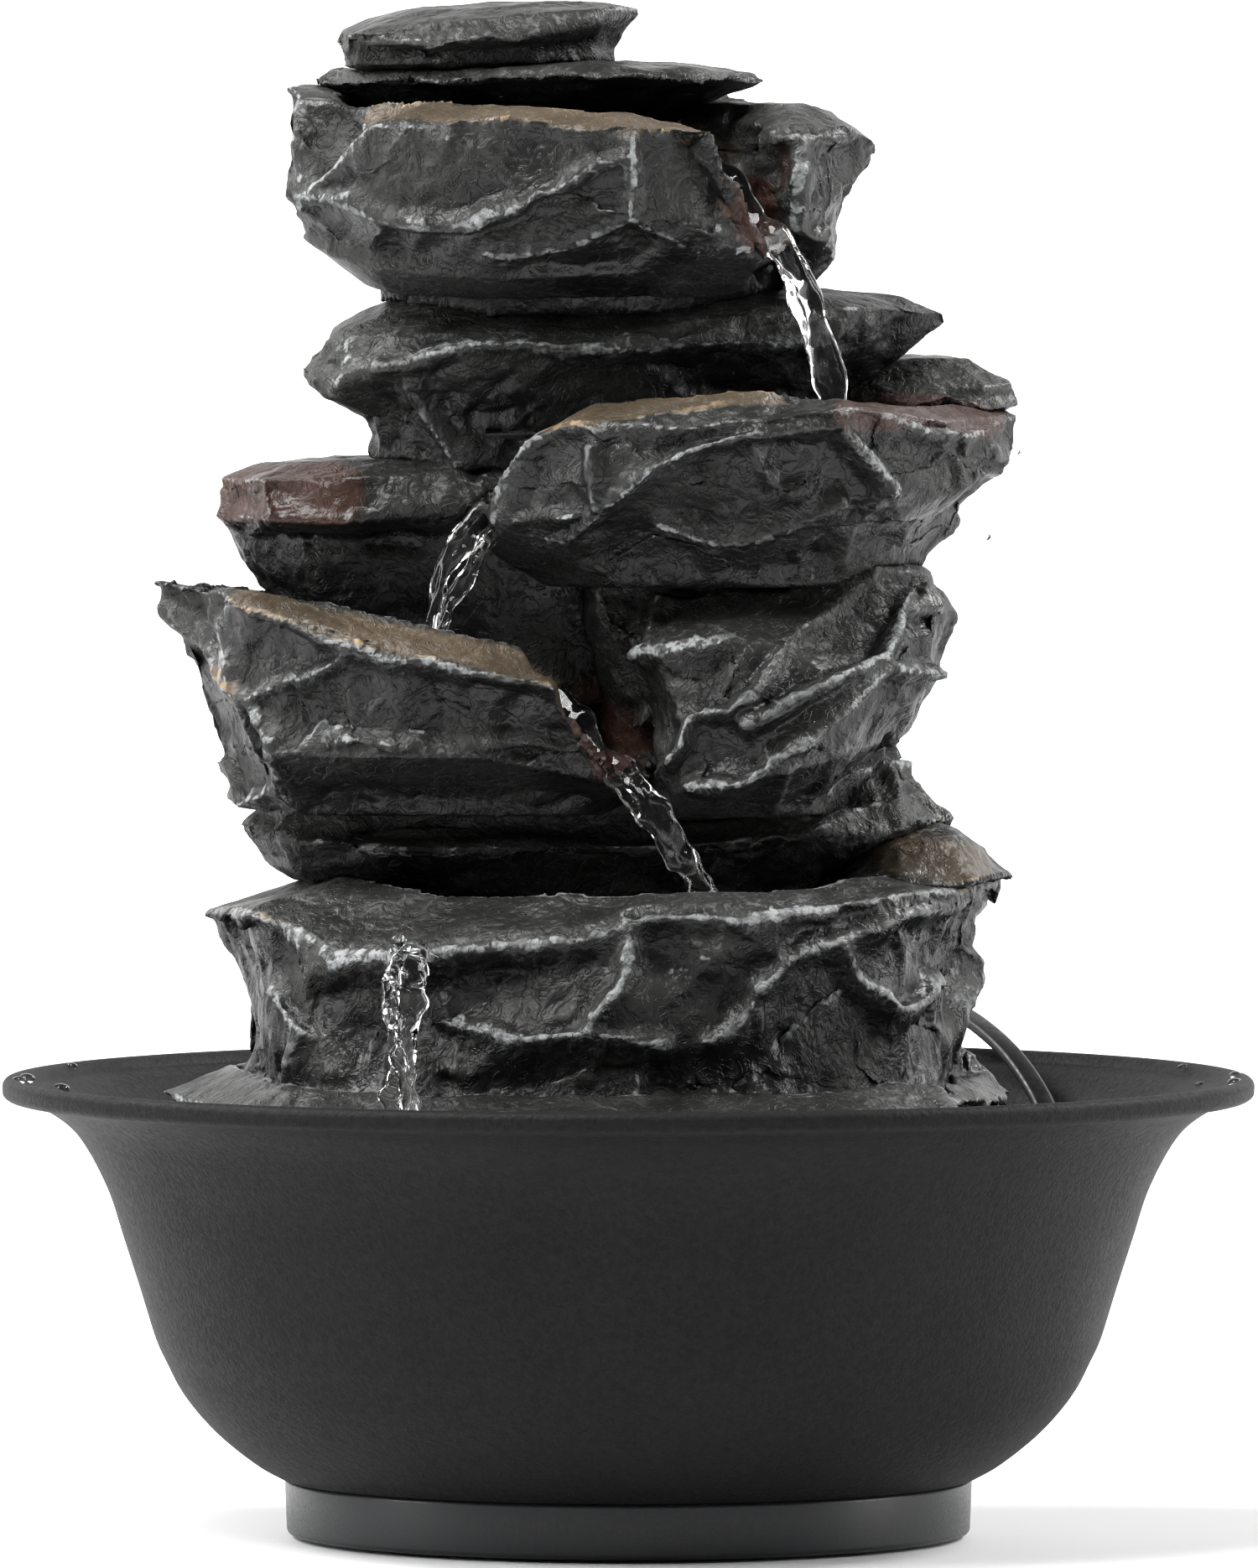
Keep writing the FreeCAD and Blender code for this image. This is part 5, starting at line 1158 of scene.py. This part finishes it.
    def build(self) -> None:
        """Make the stone: strokes, chips and grain outside the tube's and the pump's room, then the wear
        marks and the painted light and shade masks.
        """
        mesh = self.fine_mesh()
        mesh.name = self.node + "_weathered"
        ends = np.empty(len(mesh.edges) * 2, np.int32)
        mesh.edges.foreach_get("vertices", ends)
        ends = ends.reshape(-1, 2)
        points = self.eased(corners_of(mesh), ends, 1)
        normal = self.moved(mesh, points)
        still = smoothstep(self.flat_below_mm - 1.5, self.flat_below_mm + 3.0, points[:, 2] / MM)
        reached, height = self.touched(points, normal)
        within = np.all([points[:, k] > HOLLOW_MM[0][k] * MM for k in range(3)]
                        + [points[:, k] < HOLLOW_MM[1][k] * MM for k in range(3)], axis=0)
        from_tube = np.hypot(points[:, 0] / MM - TUBE_MM[0], points[:, 1] / MM - TUBE_MM[1])
        free = np.where(within, 0.0, still) * smoothstep(9.0, 14.0, from_tube)
        level = smoothstep(0.62, 0.85, np.abs(normal[:, 2]))
        swell = 0.45 * self.chip_depth_mm * (1.0 - level)
        points = points + normal * ((swell + height) * free * MM)[:, None]
        held = np.maximum.reduce([smoothstep(0.35, 0.95, reached[Mark.RIDGE]) * 0.8, level, 1.0 - free,
                                  smoothstep(38.0, 28.0, from_tube)])
        points = self.eased(self.struck(points, normal, held), ends, 1)
        normal = self.moved(mesh, points)
        points = points + normal * (self.roughened(points, normal) * free * MM)[:, None]
        self.worn(mesh, points, ends, reached)
        mesh.polygons.foreach_set("use_smooth", np.ones(len(mesh.polygons), bool))
        mesh.update()
        stone = bpy.data.objects.new(self.node + "_weathered", mesh)
        bpy.context.scene.collection.objects.link(stone)
        fit(stone, self.node)


STONES = (
    Stone("base_rock", 1.05, 11), Stone("shoulder_stone", 0.6, 12, chip_mm=12.0, chip_depth_mm=1.1),
    Stone("lower_ledge_stone", 0.8, 13, chip_mm=15.0, chip_depth_mm=1.5),
    Stone("left_basin_rock", 0.72, 14), Stone("right_boulder", 0.75, 15),
    Stone("left_slab_stone", 0.75, 16, chip_mm=13.0, chip_depth_mm=1.0),
    Stone("right_basin_rock", 0.75, 17), Stone("back_rim_stone", 0.6, 18, chip_mm=13.0, chip_depth_mm=1.1),
    Stone("upper_ledge_stone", 0.75, 19, chip_mm=15.0, chip_depth_mm=1.4),
    Stone("top_basin_rock", 0.75, 20), Stone("spout_cheek_stone", 0.6, 21, chip_mm=15.0),
    Stone("cover_slab", 0.55, 22, chip_mm=14.0, chip_depth_mm=1.1),
    Stone("cap_stone", 0.5, 23, chip_mm=15.0, chip_depth_mm=1.7),
)


# ---------------------------------------------------------------- water


def rock_tree() -> BVHTree:
    """Every stone of the frame in one search tree."""
    points, faces = [], []
    for stone in STONES:
        mesh = frame["nodes"][stone.node].data
        faces += [[len(points) + i for i in face.vertices] for face in mesh.polygons]
        points += [v.co.copy() for v in mesh.vertices]
    return BVHTree.FromPolygons(points, faces)


ROCK = rock_tree()


@dataclass
class Pool:
    """Still water in a basin: a thin closed sheet that reaches the basin's walls."""

    name: str
    centre_mm: tuple[float, float]
    level_mm: float
    spill_mm: float
    drop_in_mm: tuple[float, float]
    reach_mm: float = 80.0

    def outline(self, steps: int) -> Array:
        """How far the water goes each way: just into the wall, or to spill_mm where it runs out.

        No way is longer than reach_mm.
        """
        start = Vector((*self.centre_mm, self.level_mm)) * MM
        found = []
        for turn in np.linspace(0, 2 * np.pi, steps, endpoint=False):
            distance = ROCK.ray_cast(start, Vector((math.cos(turn), math.sin(turn), 0)), 0.08)[3]
            found.append(self.spill_mm if distance is None else distance / MM + 1.2)
        return np.minimum(found, self.reach_mm)

    def build(self) -> None:
        """Make the sheet: rings from the middle to the outline, with ripples that fade outwards."""
        steps, rings = 120, 40
        out = self.outline(steps)
        angle = np.linspace(0, 2 * np.pi, steps, endpoint=False)
        share = np.linspace(0.001, 1, rings)[:, None]
        x = self.centre_mm[0] + out * np.cos(angle) * share
        y = self.centre_mm[1] + out * np.sin(angle) * share
        flat = np.stack([x, y, 0 * x], axis=2).reshape(-1, 3)
        wave = fractal(flat, 9.0, 3, 5) * 0.12
        away = np.hypot(flat[:, 0] - self.drop_in_mm[0], flat[:, 1] - self.drop_in_mm[1])
        wave += np.cos(away * 1.5) * np.exp(-away / 9.0) * 0.55
        top = flat.copy()
        top[:, 2] = self.level_mm + wave
        low = flat.copy()
        low[:, 2] = self.level_mm - 1.6
        points = np.vstack([top, low]).reshape(2, rings, steps, 3)
        rows = np.concatenate([points[0], points[1][::-1]])
        sheet = new_piece(self.name, rows.reshape(-1, 3) * MM, grid_faces(2 * rings, steps, True, True))
        water(outward(sheet), "cascade")


@dataclass
class Stream:
    """Running or falling water: a twisting lobed section carried along a line.

    The section's radius is the half width times 1 plus a two-lobed and a three-lobed wave whose
    phases turn along the line.
    """

    name: str
    line_mm: tuple[tuple[float, float, float], ...]
    widths_mm: tuple[float, ...]
    flatness: tuple[float, ...]
    twist: float = 5.0
    seed: int = 1

    def build(self) -> None:
        """Make the stream."""
        samples, steps = 150, 32
        path = smooth_line(list(self.line_mm), samples)
        s = np.linspace(0, 1, samples)
        stops = np.linspace(0, 1, len(self.widths_mm))
        half = np.interp(s, stops, self.widths_mm)[:, None] / 2
        flat = np.interp(s, stops, self.flatness)[:, None]
        turn = np.linspace(0, 2 * np.pi, steps, endpoint=False)[None, :]
        rolled = s[:, None] * self.twist
        lobes = 1 + 0.24 * np.cos(2 * turn + rolled * 2.0) + 0.12 * np.cos(3 * turn - rolled * 3.1)
        swell = 1 + 0.10 * np.sin(s * 31 + self.seed)[:, None] + 0.06 * np.sin(s * 57)[:, None]
        r = half * lobes * swell
        section = np.stack([r * np.cos(turn), r * np.sin(turn) * flat], axis=2)
        rings = tube_points(path, section, np.array([0.05, -1.0, 0.15]))
        points = rings.reshape(-1, 3)
        points = points + np.stack([fractal(points, 3.2, 2, self.seed + k) for k in range(3)], axis=1) * 0.22
        water(closed_tube(self.name, points.reshape(rings.shape) * MM), "cascade")


def water(piece: bpy.types.Object, body: str) -> None:
    """Dress a piece as water and let it ride with a body."""
    piece.data.materials.append(WATER)
    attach(piece, body)
    LOG.info("%s is water on %s, %d faces", piece.name, body, len(piece.data.polygons))


@dataclass
class Drops:
    """Stray drops: squat half-round beads, all in one mesh."""

    name: str
    places_mm: tuple[tuple[float, float, float, float], ...]
    body: str

    def build(self) -> None:
        """Make the beads; each is a sphere of its own radius, squashed to 0.6 of its height."""
        u = np.linspace(0, 2 * np.pi, 12, endpoint=False)
        v = np.linspace(0.02, np.pi - 0.02, 8)
        ball = np.stack([np.sin(v)[:, None] * np.cos(u), np.sin(v)[:, None] * np.sin(u),
                         0.6 * np.cos(v)[:, None] + 0 * u], axis=2).reshape(-1, 3)
        faces = grid_faces(8, 12, False, True)
        points = np.vstack([ball * r + np.array([x, y, z]) for x, y, z, r in self.places_mm])
        every = np.vstack([faces + i * len(ball) for i in range(len(self.places_mm))]).tolist()
        ring = np.arange(12)
        for i in range(len(self.places_mm)):
            every += [(ring + i * len(ball)).tolist()[::-1], (ring + i * len(ball) + 84).tolist()]
        water(outward(new_piece(self.name, points * MM, every)), self.body)


WATER = Clear("water").made()


def lip_drops() -> tuple[tuple[float, float, float, float], ...]:
    """Drops on the inner slope of the bowl's lip, at its two sides."""
    places = ((176, 101.4, 1.5), (184, 102.2, 1.2), (169, 97.6, 1.7), (191, 98.4, 1.1), (-5, 101.8, 1.3),
              (4, 102.3, 1.1), (-14, 97.4, 1.5), (12, 98.6, 0.9), (158, 101.9, 1.0), (22, 101.6, 1.0))
    height = ((97.0, 73.6), (102.4, 77.1))
    return tuple((r * math.cos(math.radians(a)), r * math.sin(math.radians(a)),
                  float(np.interp(r, *zip(*height))), size) for a, r, size in places)


@dataclass
class Cascade:
    """All the stones, and the water on them."""

    pools: tuple[Pool, ...] = (
        Pool("top_pool_water", (-16, -10), 233.6, 22.0, (-10, 14)),
        Pool("right_pool_water", (20, -14), 186.2, 27.0, (34.5, -29)),
        Pool("left_pool_water", (-43, -14), 143.0, 28.0, (-34, -30), 34.0),
        Pool("base_pool_water", (0, -34), 107.6, 30.0, (12, -43)),
    )
    streams: tuple[Stream, ...] = (
        Stream("top_fall", ((8, -19, 232.5), (14, -21, 226), (20, -24, 220), (24.5, -27, 217.6),
                            (28, -29.2, 212),
                            (30.4, -30, 205), (32.6, -30, 197), (34, -30, 190.5), (34.4, -30, 185.8)),
               (9, 8, 7, 6.4, 5.4, 4.6, 4.4, 4.4, 5.6),
               (0.3, 0.3, 0.35, 0.45, 0.6, 0.7, 0.7, 0.7, 0.7), 4.0, 3),
        Stream("right_fall_a", ((-12, -17, 183), (-16, -19.5, 178), (-20.5, -23, 174.4), (-25, -27, 171),
                                (-28.6, -28.6, 166.5),
                                (-31, -29, 162), (-32, -29.4, 157), (-33, -29.6, 151), (-33.6, -29.8, 142.6)),
               (7, 7, 6, 4.4, 3.2, 2.6, 2.8, 3.0, 4.0),
               (0.3, 0.3, 0.4, 0.6, 0.8, 0.8, 0.8, 0.8, 0.8), 6.0, 5),
        Stream("right_fall_b", ((-19, -22.5, 175), (-21, -24.5, 172.6), (-22.6, -27, 169),
                                (-25.6, -29, 163.6), (-28.6, -30, 159),
                                (-31, -30.4, 154), (-32.4, -30.4, 142.6)),
               (3.4, 3.4, 3.0, 2.4, 2.2, 2.4, 3.4), (0.4, 0.5, 0.8, 0.8, 0.8, 0.8, 0.8), 5.0, 7),
        Stream("left_fall", ((-14, -30, 141.8), (-10, -34, 137.4), (-6, -36.5, 132.8), (-1.5, -40, 129.8),
                             (2, -42.6, 126),
                             (5.2, -43, 121.4), (8.2, -43, 117), (10.8, -43, 113), (12, -43, 109.2)),
               (7, 7, 6.4, 6, 5, 4.4, 4.2, 4.8, 6.4),
               (0.3, 0.3, 0.35, 0.5, 0.65, 0.7, 0.7, 0.8, 0.8), 5.0, 9),
        Stream("base_fall", ((-33.8, -48, 101.8), (-35.2, -55, 101.0), (-36.2, -61, 97.4), (-36.5, -63.6, 92),
                             (-36.9, -64.6, 86), (-37.2, -65, 80), (-37.6, -65.4, 74.2)),
               (7.6, 8, 6.0, 5.0, 4.4, 4.6, 5.6), (0.3, 0.4, 0.6, 0.75, 0.75, 0.75, 0.7), 7.0, 11),
        Stream("base_fall_b", ((-37.4, -56, 101.4), (-38.6, -62, 97.6), (-39.0, -65, 92), (-38.4, -66.6, 86),
                               (-36.4, -67, 80), (-37.0, -67, 74.2)),
               (2.4, 2.8, 2.4, 2.2, 2.2, 2.8), (0.5, 0.7, 0.8, 0.8, 0.8, 0.8), 9.0, 13),
    )

    def build(self) -> None:
        """Make the stones, pools, streams and drops."""
        for stone in STONES:
            stone.build()
        for part in (*self.pools, *self.streams):
            part.build()
        Drops("lip_drops", lip_drops(), "bowl").build()
        Drops("rock_drops", ((59.4, -18, 168.2, 1.0), (64.8, -4, 182, 0.8)), "cascade").build()


# ---------------------------------------------------------------- the rest


def keep_nodes() -> None:
    """Dress every frame piece that stays as it is."""
    for name, piece in frame["nodes"].items():
        if not piece.hide_render:
            dress(piece, SLOT_OF[name])


def main() -> None:
    """Build the fountain."""
    logging.basicConfig(level=logging.INFO, format="%(name)s: %(message)s")
    studio = Studio()
    studio.camera()
    Lead().build()
    studio.floor()
    studio.lights()
    Bowl().build()
    Cascade().build()
    keep_nodes()


if __name__ == "__main__":
    main()
